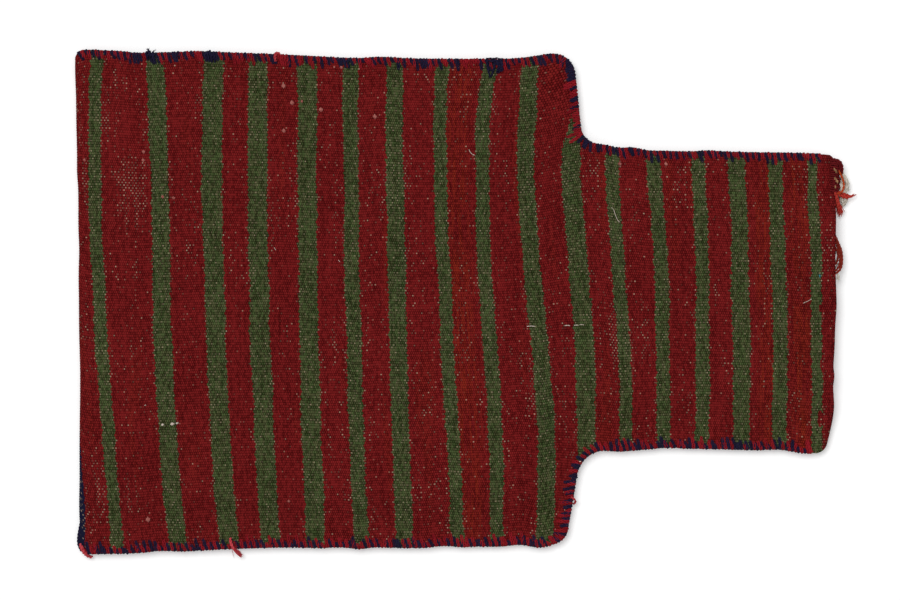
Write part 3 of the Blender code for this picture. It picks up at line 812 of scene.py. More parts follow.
@dataclass
class SpunYarn:
    """Sweeps strands as plied yarn with a node tree; squash flattens it against what it lies on."""

    ply_radius: float = 0.00055
    ply_offset: float = 0.00050
    squash: float = 1.0
    twist: float = 0.0062
    sample: float = 0.0011
    sides: int = 5
    plies: int = 2

    def sizes(self) -> dict[str, float]:
        """The node tree's named inputs, with their values."""
        return {"Ply Radius": self.ply_radius, "Ply Offset": self.ply_offset, "Squash": self.squash,
                "Twist": self.twist, "Sample": self.sample, "Sides": self.sides}

    def tree(self) -> bpy.types.NodeTree:
        """Build the node tree that turns polylines into plied yarn.

        Returns:
            The node tree, with one named input for each size.
        """
        tree = bpy.data.node_groups.new("spun_yarn", "GeometryNodeTree")
        kinds = {"Strands": "Geometry", "Wool": "Material"}
        kinds |= {name: "Int" if isinstance(size, int) else "Float" for name, size in self.sizes().items()}
        for name, kind in kinds.items():
            tree.interface.new_socket(name, in_out="INPUT", socket_type="NodeSocket" + kind)
        tree.interface.new_socket("Yarn", in_out="OUTPUT", socket_type="NodeSocketGeometry")
        graph = Graph(tree)
        given = {name: Wire(graph, socket) for name, socket in graph.node("NodeGroupInput").outputs.items()}

        def step(kind: str, values: Mapping[Any, Any], settings: Mapping[str, Any] | None = None) -> Wire:
            """Add one geometry node and give its first output."""
            return graph.wire("GeometryNode" + kind, settings, values)

        def stored(geometry: Wire, name: str, output: str) -> Wire:
            """Keep a spline parameter as an attribute of the curve's points."""
            value = graph.wire("GeometryNodeSplineParameter", None, None, output)
            return step("StoreNamedAttribute", {"Geometry": geometry, "Name": name, "Value": value},
                        {"data_type": "FLOAT", "domain": "POINT"})

        lines = step("MeshToCurve", {"Mesh": given["Strands"]})
        even = step("ResampleCurve", {"Curve": lines, "Length": given["Sample"]}, {"mode": "LENGTH"})
        guide = stored(even, "run", "Length")
        ring = step("CurvePrimitiveCircle", {"Resolution": given["Sides"], "Radius": given["Ply Radius"]})
        profile = stored(ring, "turn", "Factor")
        length = graph.wire("GeometryNodeSplineParameter", None, None, "Length")
        thick, tint = (step("InputNamedAttribute", {"Name": name}, {"data_type": "FLOAT"})
                       for name in ("thick", "tint"))
        normal = step("InputNormal", {})
        side = graph.arrow("CROSS_PRODUCT", step("InputTangent", {}), normal)
        reach = thick * given["Ply Offset"]
        joined = graph.node("GeometryNodeJoinGeometry")
        for ply in range(self.plies):
            angle = (length / given["Twist"] + tint * 5.0 + ply / self.plies) * (2 * math.pi)
            flat = angle.maths("SINE") * reach * given["Squash"]
            offset = graph.arrow("ADD", graph.scaled(normal, angle.maths("COSINE") * reach),
                                 graph.scaled(side, flat))
            moved = step("SetPosition", {"Geometry": guide, "Offset": offset})
            swept = step("CurveToMesh", {"Curve": moved, "Profile Curve": profile, "Scale": thick,
                                         "Fill Caps": True})
            graph.feed(joined.inputs[0], swept)
        smoothed = step("SetShadeSmooth", {"Geometry": joined.outputs[0]})
        real = step("RealizeInstances", {"Geometry": smoothed})
        dressed = step("SetMaterial", {"Geometry": real, "Material": given["Wool"]})
        graph.node("NodeGroupOutput", None, {0: dressed})
        return tree

    def sweep(self, name: str, strands: Sequence[Strand], finish: Finish) -> bpy.types.Object:
        """Make one piece of yarn from its strands.

        Args:
            name: the piece's name.
            strands: the routes that it follows.
            finish: its colour.

        Returns:
            The piece, as a plain mesh.
        """
        edges = []
        start = 0
        for strand in strands:
            edges += [(start + step, start + step + 1) for step in range(len(strand.route) - 1)]
            start += len(strand.route)
        data = bpy.data.meshes.new(name + "_route")
        data.from_pydata([point for strand in strands for point in strand.route], edges, [])
        for attribute, values in (("thick", [size for strand in strands for size in strand.thicknesses()]),
                                  ("tint", [strand.tint for strand in strands for _ in strand.route])):
            data.attributes.new(attribute, "FLOAT", "POINT").data.foreach_set("value", values)
        guide = placed(name + "_guide", data)
        modifier = guide.modifiers.new("Spun", "NODES")
        modifier.node_group = self.tree()
        inputs = self.sizes() | {"Wool": finish.material()}
        for item in modifier.node_group.interface.items_tree:
            if item.in_out == "INPUT" and item.name in inputs:
                modifier[item.identifier] = inputs[item.name]
        bpy.context.view_layer.update()
        seen = guide.evaluated_get(bpy.context.evaluated_depsgraph_get())
        swept = bpy.data.meshes.new_from_object(seen)
        guide.modifiers.remove(modifier)
        bpy.data.objects.remove(guide, do_unlink=True)
        swept.name = name
        return placed(name, swept)


def placed(name: str, data: Any) -> bpy.types.Object:
    """Put a mesh, a lamp or a camera into the scene as a new object."""
    piece = bpy.data.objects.new(name, data)
    bpy.context.scene.collection.objects.link(piece)
    return piece


def adopt(piece: bpy.types.Object, slot: str, *nodes: str) -> None:
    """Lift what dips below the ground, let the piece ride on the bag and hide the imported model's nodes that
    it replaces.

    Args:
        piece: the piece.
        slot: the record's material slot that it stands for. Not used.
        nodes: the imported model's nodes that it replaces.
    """
    places = np.empty(len(piece.data.vertices) * 3)
    piece.data.vertices.foreach_get("co", places)
    places[2::3] = np.maximum(places[2::3], 0.0)
    piece.data.vertices.foreach_set("co", places)
    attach(piece, "root")
    if nodes:
        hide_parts(*nodes)
    LOG.info("%s: %d faces", piece.name, len(piece.data.polygons))


@dataclass(frozen=True)
class Chart:
    """A square on the texture that a face of the cloth is laid out in."""

    left: float
    low: float
    size: float

    def lay(self, flat: np.ndarray) -> np.ndarray:
        """Fit a face's flat places into the square, at one scale."""
        corner = flat.reshape(-1, 2).min(axis=0)
        span = float((flat.reshape(-1, 2) - corner).max())
        return (flat - corner) / span * self.size + np.array((self.left, self.low))


@dataclass
class Face:
    """One side of one wall: its vertices' numbers and places, by row and column."""

    rows: np.ndarray
    numbers: np.ndarray
    places: np.ndarray
    charted: np.ndarray


@dataclass
class WovenCloth:
    """The folded cloth: two ribbed walls, the fold between them, plain inner faces and their rims."""

    surface: Surface
    body_columns: int = 66
    neck_columns: int = 35
    fold_turns: tuple[float, ...] = (0.0, 22.5, 45.0, 67.5, 90.0)
    inner_step: int = 6
    rim_bulge: float = 0.0003
    mouth_bulge: float = 0.0009
    rib_variety: float = 0.00004
    places: list[np.ndarray] = field(default_factory=list)
    weave: list[np.ndarray] = field(default_factory=list)
    faces: list[tuple[int, ...]] = field(default_factory=list)
    corners: list[tuple[float, float]] = field(default_factory=list)
    total: int = 0

    def rows(self, plain: bool) -> np.ndarray:
        """The rows of a face: every half warp, or a few on a plain one.

        Args:
            plain: True for the plain inner faces.

        Returns:
            Half warps counted from the middle, in rising order.
        """
        cut = self.surface.pattern
        if not plain:
            return np.arange(-cut.body_rows, cut.body_rows + 1)
        neck = np.linspace(0, cut.neck_rows, cut.neck_rows // self.inner_step)
        beside = cut.body_rows - cut.neck_rows
        body = np.linspace(cut.neck_rows, cut.body_rows, 2 * beside // self.inner_step)
        half = np.round(np.concatenate((neck, body))).astype(int)
        return np.unique(np.concatenate((-half, half)))

    def pattern_place(self, row: int, along: np.ndarray) -> np.ndarray:
        """Distance from the fold as if every stripe ran straight across the bag.

        Args:
            row: half warps counted from the middle.
            along: true distances from the base fold, in that row.

        Returns:
            The distances that the straight stripes would have.
        """
        sideways = row * self.surface.pattern.row_step
        borders = [side * stripe.width / 2 * MILLIMETRE for stripe in STRIPES for side in (-1, 1)]
        leaning = np.repeat([stripe.centre(sideways) for stripe in STRIPES], 2) + borders
        straight = np.repeat([stripe.middle * MILLIMETRE for stripe in STRIPES], 2) + borders
        leaning, straight = (np.concatenate(([ends[0] - 0.1], ends, [ends[-1] + 0.1]))
                             for ends in (leaning, straight))
        return np.interp(along, leaning, straight)

    def shape(self, wall: int, outer: bool, rows: np.ndarray) -> tuple[np.ndarray, np.ndarray]:
        """Work out where one face of one wall lies.

        Args:
            wall: +1 for the upper wall, -1 for the lower one.
            outer: True for the face that shows, False for the inside.
            rows: the rows, in half warps from the middle.

        Returns:
            Places by row and column, and the same face unrolled flat.
        """
        cut = self.surface.pattern
        row = rows[:, None].astype(float)
        start = cut.fold_start(row)
        square = cut.across(row, start + max(cut.base_corners))
        fold_lift, fold_gap, _ = self.surface.heights(row, start, square)
        reach = cut.thickness + fold_gap / 2
        neck_row = np.clip(row, -cut.neck_rows, cut.neck_rows)
        body, neck = (between(first, last, np.linspace(0, 1, columns + 1)[None, 1:])
                      for first, last, columns in (
                          (start + reach, cut.shoulder_end(row), self.body_columns),
                          (cut.shoulder_end(neck_row), cut.mouth_end(neck_row), self.neck_columns)))
        along = np.concatenate((body, neck), axis=1)
        sideways = cut.across(row, along)
        lift, space, wave = self.surface.heights(row, along, sideways)
        crest = np.where(rows % 2 == 0, CREST, TROUGH)[:, None] * cut.rib_height
        worn_down = np.abs(np.random.default_rng(11).normal(0.0, self.rib_variety, len(rows)))[:, None]
        rib = (crest - worn_down) * outer
        turns = np.radians(np.array(self.fold_turns))[None, :]
        if wall > 0:
            height = lift + cut.thickness * (2 if outer else 1) + space + wave + rib
        else:
            height = lift + (CREST * cut.rib_height - rib if outer else cut.thickness)
        sunk = cut.rib_height * CREST / 2 * (1 - wall * np.sin(turns)) * outer
        radius = (reach if outer else fold_gap / 2) + rib - sunk
        bend = start + reach - radius * np.cos(turns)
        outside = start + reach - reach * np.cos(turns)
        bend_height = fold_lift + reach + wall * radius * np.sin(turns)
        all_along = np.concatenate((bend, along), axis=1)
        all_sideways = np.concatenate((cut.across(row, outside), sideways), axis=1)
        all_height = np.concatenate((bend_height, height), axis=1)
        places = np.stack((all_along - ORIGIN_FROM_FOLD, all_sideways, all_height), axis=-1)
        unrolled = np.concatenate((start + reach * (1 - math.pi / 2 + turns), along), axis=1)
        return places, np.stack((unrolled, all_sideways), axis=-1)

    def lay_face(self, wall: int, outer: bool, chart: Chart, shared: Face | None = None) -> Face:
        """Make the vertices and quads of one face of one wall.

        Args:
            wall: +1 for the upper wall, -1 for the lower one.
            outer: True for the face that shows, False for the inside.
            chart: where the face lies on the texture.
            shared: the face across the fold, whose first column this one takes over.

        Returns:
            The face, with -1 for the vertices past a row's end.
        """
        rows = self.rows(not outer)
        places, flat = self.shape(wall, outer, rows)
        live = np.ones(places.shape[:2], dtype=bool)
        live[np.abs(rows) > self.surface.pattern.neck_rows, -self.neck_columns:] = False
        new = live.copy()
        new[:, 0] = shared is None
        numbers = np.full(live.shape, -1)
        straight = np.stack([self.pattern_place(row, line) for row, line in zip(rows, flat[..., 0])])
        warp = np.broadcast_to(rows[:, None] / 2, straight.shape)
        side = np.full(straight.shape, 0.0 if wall > 0 else 20.0)
        numbers[new] = self.keep(places[new], np.stack((straight, warp, side), axis=-1)[new])
        if shared is not None:
            numbers[:, 0] = shared.numbers[:, 0]
        face = Face(rows, numbers, places, chart.lay(np.where(live[..., None], flat, flat[:, :1])))
        self.join_quads(face, (wall > 0) != outer)
        return face

    def keep(self, places: np.ndarray, weave: np.ndarray) -> np.ndarray:
        """Add vertices and give their numbers.

        Args:
            places: the new vertices.
            weave: where each one is in the weave.

        Returns:
            Their numbers in the mesh.
        """
        self.places.append(places)
        self.weave.append(weave)
        self.total += len(places)
        return np.arange(self.total - len(places), self.total)

    def join_quads(self, face: Face, flip: bool) -> None:
        """Add the quads of a face, flipped where it looks down.

        Args:
            face: the face.
            flip: True to turn its quads over.
        """
        low, high = slice(None, -1), slice(1, None)
        turn = [(low, low), (low, high), (high, high), (high, low)]
        turn = turn[::-1] if flip else turn
        numbers, charted = (np.stack([grid[corner] for corner in turn], axis=2)
                            for grid in (face.numbers, face.charted))
        whole = (numbers >= 0).all(axis=2)
        self.faces += [tuple(quad) for quad in numbers[whole].tolist()]
        self.corners += [tuple(map(tuple, quad)) for quad in charted[whole].tolist()]

    def rim(self, face: Face) -> list[tuple[np.ndarray, np.ndarray]]:
        """The free edge round one face, as chains of row and column places.

        Args:
            face: the face.

        Returns:
            Seven chains: along the body, the shoulder, the neck, the mouth and back.
        """
        cut = self.surface.pattern
        last = face.numbers.shape[1] - self.neck_columns - 1
        outer, inner, low_inner, low_outer = (
            int(np.flatnonzero(face.rows == row)[0])
            for row in (cut.body_rows, cut.neck_rows, -cut.neck_rows, -cut.body_rows))
        body, neck = np.arange(last + 1), np.arange(last, face.numbers.shape[1])
        shoulder, mouth, foot = (np.arange(first, end - 1, -1) for first, end in (
            (outer, inner), (inner, low_inner), (low_inner, low_outer)))
        return [(np.full_like(body, outer), body), (shoulder, np.full_like(shoulder, last)),
                (np.full_like(neck, inner), neck), (mouth, np.full_like(mouth, neck[-1])),
                (np.full_like(neck, low_inner), neck[::-1]), (foot, np.full_like(foot, last)),
                (np.full_like(body, low_outer), body[::-1])]

    def close_rims(self, outer: Face, inner: Face, wall: int, shared: dict[int, int]) -> None:
        """Join an outer face's edge to its inner one round a softly rounded rim.

        Args:
            outer: the outer face.
            inner: the inner one.
            wall: +1 for the upper wall, -1 for the lower one.
            shared: rim vertices made so far, by the outer vertex that they lie beside.
        """
        core = (outer.places + self.shape(wall, False, outer.rows)[0]) / 2
        weave = np.concatenate(self.weave)
        for number, (first, second) in enumerate(zip(self.rim(outer), self.rim(inner))):
            run = np.gradient(core[first][:, :2], axis=0)
            run /= np.maximum(np.hypot(*run.T), 1e-9)[:, None]
            bulge = self.mouth_bulge if number == 3 else self.rim_bulge
            moved = core[first] + np.column_stack((-run[:, 1], run[:, 0], 0 * run[:, 0])) * bulge
            near, far = outer.numbers[first], inner.numbers[second]
            for vertex, place in zip(near.tolist(), moved):
                if vertex not in shared:
                    shared[vertex] = int(self.keep(place[None, :], weave[vertex][None, :])[0])
            middle = np.array([shared[vertex] for vertex in near.tolist()])
            low = RIM_STRIPS + STRIP_STEP * (number + (7 if wall < 0 else 0))
            self.join_strip(near, middle, low)
            self.join_strip(middle, far, low + STRIP)

    def join_strip(self, first: np.ndarray, second: np.ndarray, low: float) -> None:
        """Add the faces between two chains that run side by side, in a strip of the texture.

        Args:
            first: vertex numbers of one chain.
            second: those of the other, which may be fewer.
            low: the strip's lower edge on the texture.
        """
        here = there = 0
        shares = [np.linspace(0, 1, len(chain)) for chain in (first, second)]
        while here < len(first) - 1 or there < len(second) - 1:
            step_here = here < len(first) - 1 and (there == len(second) - 1
                                                   or shares[0][here + 1] <= shares[1][there + 1] + 1e-9)
            corner = [(first[here], shares[0][here], low), (second[there], shares[1][there], low + STRIP)]
            if step_here:
                here += 1
                corner.insert(1, (first[here], shares[0][here], low))
            else:
                there += 1
                corner.insert(1, (second[there], shares[1][there], low + STRIP))
            self.faces.append(tuple(int(vertex) for vertex, _, _ in corner))
            self.corners.append(tuple((0.79 + 0.2 * share, height) for _, share, height in corner))

    def build(self) -> bpy.types.Object:
        """Make the cloth as one closed mesh with its weave attribute and its texture map.

        Returns:
            The piece, as a plain mesh.
        """
        top = self.lay_face(1, True, Chart(0.003, 0.003, 0.994))
        base = self.lay_face(-1, True, Chart(0.003, RIM_STRIPS, 0.49), top)
        inside_top = self.lay_face(1, False, Chart(0.51, RIM_STRIPS, 0.24))
        inside_base = self.lay_face(-1, False, Chart(0.51, 0.836, 0.24), inside_top)
        shared: dict[int, int] = {}
        self.close_rims(top, inside_top, 1, shared)
        self.close_rims(base, inside_base, -1, shared)
        name = "woven_cloth"
        data = bpy.data.meshes.new(name)
        data.from_pydata(np.concatenate(self.places).tolist(), [], self.faces)
        attribute = data.attributes.new("weave", "FLOAT_VECTOR", "POINT")
        attribute.data.foreach_set("vector", np.concatenate(self.weave).ravel())
        chart = data.uv_layers.new(name="OFBake")
        chart.data.foreach_set("uv", np.array([spot for face in self.corners for spot in face]).ravel())
        shell = bmesh.new()
        shell.from_mesh(data)
        bmesh.ops.recalc_face_normals(shell, faces=shell.faces[:])
        open_edges = sum(1 for edge in shell.edges if len(edge.link_faces) != 2)
        LOG.info("cloth: %d open edges, volume %.1f cm3", open_edges, shell.calc_volume() * 1e6)
        shell.to_mesh(data)
        shell.free()
        data.shade_smooth()
        data.materials.append(WeaveFinish().build())
        return placed(name, data)


@dataclass(frozen=True)
class SewerMark:
    """A stretch of a seam, in millimetres, where one yarn was wound alone or taken further in."""

    along: float
    across: float
    half: float
    yarn: Finish
    reach: float

    def holds(self, point: np.ndarray) -> bool:
        """Whether a point of the seam lies in the stretch."""
        return math.hypot(point[0] / MILLIMETRE - self.along, point[1] / MILLIMETRE - self.across) < self.half


SEWER_MARKS = (
    SewerMark(42.6, 198.0, 4.4, Finish.NAVY, 1.30),
    SewerMark(59.8, 197.6, 3.6, Finish.NAVY, 1.35),
    SewerMark(74.8, 198.0, 2.6, Finish.NAVY, 1.15),
    SewerMark(104.6, 198.0, 5.4, Finish.NAVY, 1.10),
    SewerMark(153.0, 198.0, 2.4, Finish.NAVY, 1.20),
    SewerMark(162.0, 198.0, 4.2, Finish.RED, 1.30),
    SewerMark(275.0, 194.0, 3.8, Finish.NAVY, 1.15),
    SewerMark(367.2, 197.0, 3.0, Finish.NAVY, 1.30),
    SewerMark(394.6, 190.0, 5.4, Finish.NAVY, 1.10),
    SewerMark(397.6, 182.4, 2.4, Finish.NAVY, 1.05),
    SewerMark(398.0, 177.6, 2.8, Finish.RED, 1.50),
    SewerMark(398.4, 173.0, 1.8, Finish.NAVY, 0.80),
    SewerMark(399.0, 168.6, 3.0, Finish.RED, 0.80),
    SewerMark(399.8, 163.6, 2.0, Finish.NAVY, 0.90),
    SewerMark(400.6, 156.8, 1.6, Finish.NAVY, 0.75),
    SewerMark(401.4, 149.4, 5.4, Finish.RED, 0.85),
    SewerMark(402.4, 142.6, 1.7, Finish.NAVY, 0.90),
    SewerMark(403.6, 137.6, 3.6, Finish.RED, 1.80),
    SewerMark(405.4, 132.4, 2.6, Finish.NAVY, 1.10),
    SewerMark(408.8, 128.4, 2.6, Finish.NAVY, 1.10),
    SewerMark(107.0, -190.8, 4.6, Finish.NAVY, 1.05),
    SewerMark(393.0, -186.0, 3.4, Finish.RED, 1.10),
)


@dataclass
class SeamOvercasting:
    """Red and navy yarn wound side by side over one seam."""

    surface: Surface
    side: int
    pitch: float = 0.00255
    reach: dict[Finish, float] = field(default_factory=lambda: {Finish.RED: 0.0071, Finish.NAVY: 0.0066})
    stretches: tuple[float, ...] = (0.62, 0.82, 0.95, 1.0, 1.12, 1.38)
    swell: tuple[float, ...] = (0.42, 0.8, 0.98, 1.06, 1.12, 1.15, 1.15, 1.12, 1.0, 1.0, 0.9, 0.7)
    repeat_share: float = 0.16
    lean: float = 0.0027
    depth: float = 0.00045
    beside: float = 0.00015
    under: float = 0.00046
    # How far out from the cloth's edge the navy strand that is painted shade lies.
    edge_shade_offset: float = 0.00022
    plies: int = 3
    seed: int = 5

    @property
    def seam(self) -> str:
        """The first words of the pieces' names."""
        return "upper_seam" if self.side > 0 else "lower_seam"

    def line(self) -> tuple[np.ndarray, np.ndarray, np.ndarray]:
        """Points at the wraps' pitch along the seam, with the way along it and the way out.

        Returns:
            Places in plan, unit steps along the seam and unit steps outward.
        """
        points = self.surface.pattern.seam_line(self.side)
        lengths = np.concatenate(([0.0], np.cumsum(np.hypot(*np.diff(points, axis=0).T))))
        marks = np.arange(0.0, lengths[-1], self.pitch)
        middle, before, after = (np.column_stack([np.interp(marks + step, lengths, points[:, axis])
                                                  for axis in (0, 1)]) for step in (0.0, -0.004, 0.004))
        run = after - before
        run /= np.hypot(*run.T)[:, None]
        return middle, run, np.column_stack((-run[:, 1], run[:, 0])) * self.side

    def section(self, reach: float) -> tuple[tuple[float, float], ...]:
        """A wrap's way round the edge: seven places on the upper wall and seven from there down.

        Args:
            reach: how far in from the edge the wrap is taken.

        Returns:
            Pairs of a place outward from the edge and a height.
        """
        high, low = self.surface.pattern.seam_top, self.surface.pattern.seam_lift
        over, beside, under = self.depth, self.beside, self.under
        return ((-reach, high - 0.0010), (-reach + 0.0008, high + over * 0.4), (-reach * 0.7, high + over),
                (-reach * 0.4, high + over * 1.1), (-reach * 0.15, high + over),
                (beside * 0.4, high + over * 0.4), (beside, high - 0.0009),
                (beside, (high + low) / 2), (beside, low + 0.0008), (0.0, low - under * 0.7),
                (-reach * 0.3, low - under), (-reach * 0.7, low - under),
                (-reach + 0.0008, low - under * 0.5), (-reach, low + 0.0008))

    def wrap(self, colour: Finish, point: np.ndarray, run: np.ndarray, out: np.ndarray,
             dice: random.Random, mark: SewerMark | None) -> Strand:
        """One wrap's route: out over the upper wall, round the edge and back below.

        Args:
            colour: which yarn this is.
            point: where it crosses the cloth's edge.
            run: the way along the seam.
            out: the way out of the cloth.
            dice: what varies the wraps.
            mark: the sewer's mark that it lies in, if any.

        Returns:
            The wrap, thick at the edge and thinner where it goes into the cloth.
        """
        stretch = dice.choice(self.stretches)
        reach = self.reach[colour] * (mark.reach if mark else stretch) + dice.uniform(-0.0006, 0.0006)
        lean = (self.lean + dice.uniform(-0.0013, 0.0010)) * self.side
        slide = dice.uniform(-0.0005, 0.0005)
        bow = dice.uniform(-0.0005, 0.0005)
        route = []
        for number, (offset, height) in enumerate(self.section(reach)):
            share = offset / -reach if offset < 0 else 0.0
            shift = slide + (lean * share ** 0.7 + bow * 4 * share * (1 - share)) * (1 if number < 7 else -1)
            place = point + out * offset + run * shift
            route.append((place[0] - ORIGIN_FROM_FOLD, place[1], height))
        thick = dice.uniform(0.94, 1.10)
        tint = dice.random() * 0.85 + (0.14 if self.side > 0 else 0.30) + (0.25 if mark else 0.0)
        return Strand(curved(route, 2), [thick * part for part in self.swell], tint)

    def edge_shade_strand(self) -> bpy.types.Object:
        """Make a navy strand along the edge under the wraps: painted shade for their sides seen edge-on,
        which also smooths the seam's outline.

        Returns:
            The piece, as a plain mesh.
        """
        cut = self.surface.pattern
        middle, _, out = self.line()
        route = [(along - ORIGIN_FROM_FOLD, across, (cut.seam_top + cut.seam_lift) / 2)
                 for along, across in middle + out * self.edge_shade_offset]
        spinner = SpunYarn(ply_radius=0.00045, ply_offset=0.00045, twist=0.009, sample=0.0015)
        return spinner.sweep(self.seam + "_carried_yarn", [Strand(curved(route, 2), 1.0, 0.3)], Finish.NAVY)

    def build(self) -> list[bpy.types.Object]:
        """Make the red and the navy winding as two pieces.

        Returns:
            The red piece and the navy one.
        """
        dice = random.Random(self.seed + self.side)
        strands: dict[Finish, list[Strand]] = {Finish.RED: [], Finish.NAVY: []}
        colour = Finish.NAVY
        for point, run, out in zip(*self.line()):
            mark = next((known for known in SEWER_MARKS if known.holds(point)), None)
            colour = mark.yarn if mark else colour
            strands[colour].append(self.wrap(colour, point, run, out, dice, mark))
            if dice.random() > self.repeat_share:
                colour = Finish.RED if colour is Finish.NAVY else Finish.NAVY
        spinner = SpunYarn(ply_radius=0.00049, ply_offset=0.00102, squash=0.26, twist=0.0105,
                           sample=0.0012, plies=self.plies)
        return [spinner.sweep(f"{self.seam}_{finish.name.lower()}_yarn", wraps, finish)
                for finish, wraps in strands.items()]


KNOT: tuple[Row, ...] = (
    (((325.0, 192.6, 1.6), (325.4, 194.6, 1.3), (328.4, 195.4, 1.6), (331.4, 195.1, 2.2),
      (334.4, 195.5, 1.8), (337.0, 194.4, 1.8), (337.4, 191.8, 2.0)), 0.65),
    (((336.0, 192.6, 2.2), (333.6, 193.6, 2.6), (330.4, 192.8, 2.2), (327.6, 193.8, 2.0),
      (326.2, 192.2, 1.8)), 0.75),
    (((326.0, 195.6, 1.8), (326.6, 190.4, 1.2), (327.4, 185.6, 0.6), (328.8, 180.2, 0.3)),
     (1.0, 1.15, 1.0, 0.5)),
    (((332.6, 194.6, 1.9), (332.4, 189.4, 1.2), (331.0, 184.4, 0.6), (329.4, 180.0, 0.3)),
     (1.0, 1.1, 1.0, 0.5)),
    (((338.6, 195.4, 1.6), (337.2, 190.8, 1.5), (335.0, 186.2, 1.0), (334.0, 183.6, 0.4)),
     (0.9, 1.3, 1.15, 0.6)),
    (((336.6, 195.2, 1.9), (338.4, 190.6, 1.8), (337.0, 186.4, 1.2), (335.6, 183.4, 0.4)),
     (0.9, 1.25, 1.15, 0.6)),
    (((334.0, 194.2, 1.7), (335.4, 190.2, 2.2), (338.4, 187.4, 1.2), (338.0, 184.6, 0.5)),
     (0.8, 1.2, 1.0, 0.6)),
    (((333.6, 190.4, 0.8), (336.6, 191.6, 2.6), (339.2, 189.8, 0.8)), 1.0),
)
NAVY_WRAPS = (
    (53.6, 194.6, 5.0), (56.0, 194.0, 6.2), (58.6, 193.8, 5.2), (100.4, 194.0, 5.0), (102.6, 193.6, 6.4),
    (105.0, 193.2, 7.4), (107.4, 193.2, 6.2), (212.0, 188.6, 5.8), (214.6, 188.4, 5.6))
RED_ENDS: tuple[Row, ...] = (
    (((1.0, -193.0, 8.6), (2.0, -196.6, 9.0), (4.0, -200.2, 7.6), (6.6, -202.9, 4.6), (9.8, -204.2, 2.8)),
     (1.1, 1.45, 1.5, 1.4, 1.2)),
    (((2.2, -194.0, 8.8), (3.4, -197.4, 8.8), (5.4, -200.6, 7.2), (8.0, -202.8, 4.6), (10.8, -203.4, 3.0)),
     (0.9, 1.1, 1.1, 1.0, 0.7)),
    (((393.6, -155.8, 7.9), (396.2, -157.4, 7.0), (397.2, -159.6, 5.4), (395.4, -161.4, 3.6)), 1.05),
    (((157.2, 193.0, 8.2), (156.8, 197.0, 8.4), (158.2, 199.6, 7.6), (160.0, 198.8, 5.8),
      (160.4, 196.4, 4.6)), (1.0, 1.5, 1.7, 1.5, 1.0)),
)
STITCHES = ((358.2, 364.6, -19.0), (388.8, 392.6, -18.4), (396.0, 399.4, -18.2), (400.2, 403.8, -17.8))
HAIRS = (
    (0.34, ((427.6, 74.0), (429.0, 69.6), (430.6, 66.0), (432.2, 64.2))),
    (0.32, ((312.0, 122.2), (312.6, 120.6), (314.4, 118.6), (316.6, 117.6))),
    (0.24, ((156.2, 44.0), (157.6, 41.8))),
    (0.24, ((207.6, 34.0), (209.0, 32.4))),
    (0.30, ((579.0, -0.6), (582.4, 1.0), (585.8, 2.8))),
    (0.28, ((425.8, 76.0), (427.4, 74.2))),
)
FLECKS = ((67.2, -97.6, 1.0, 1.3), (75.0, -97.0, 1.6, 1.7), (78.8, -96.4, 1.0, 1.2),
          (53.4, -82.0, 0.5, 1.0), (400.8, -127.2, 0.8, 1.2))
SLUBS = (
    (163.6, 173.2, 1.0), (170.6, 159.6, 1.0), (178.4, 160.8, 0.6), (193.8, 154.0, 1.0), (164.0, 137.2, 0.9),
    (236.8, 148.4, 1.0), (209.8, 188.2, 0.8), (204.2, 188.4, 0.5), (52.0, 120.4, 0.8), (51.6, 113.6, 0.7),
    (4.2, 114.0, 0.7), (67.2, 84.4, 0.7), (76.0, 83.6, 0.7), (55.2, -173.6, 1.1), (168.0, -158.8, 0.6),
    (432.8, 110.8, 0.8), (469.6, 110.8, 0.8))


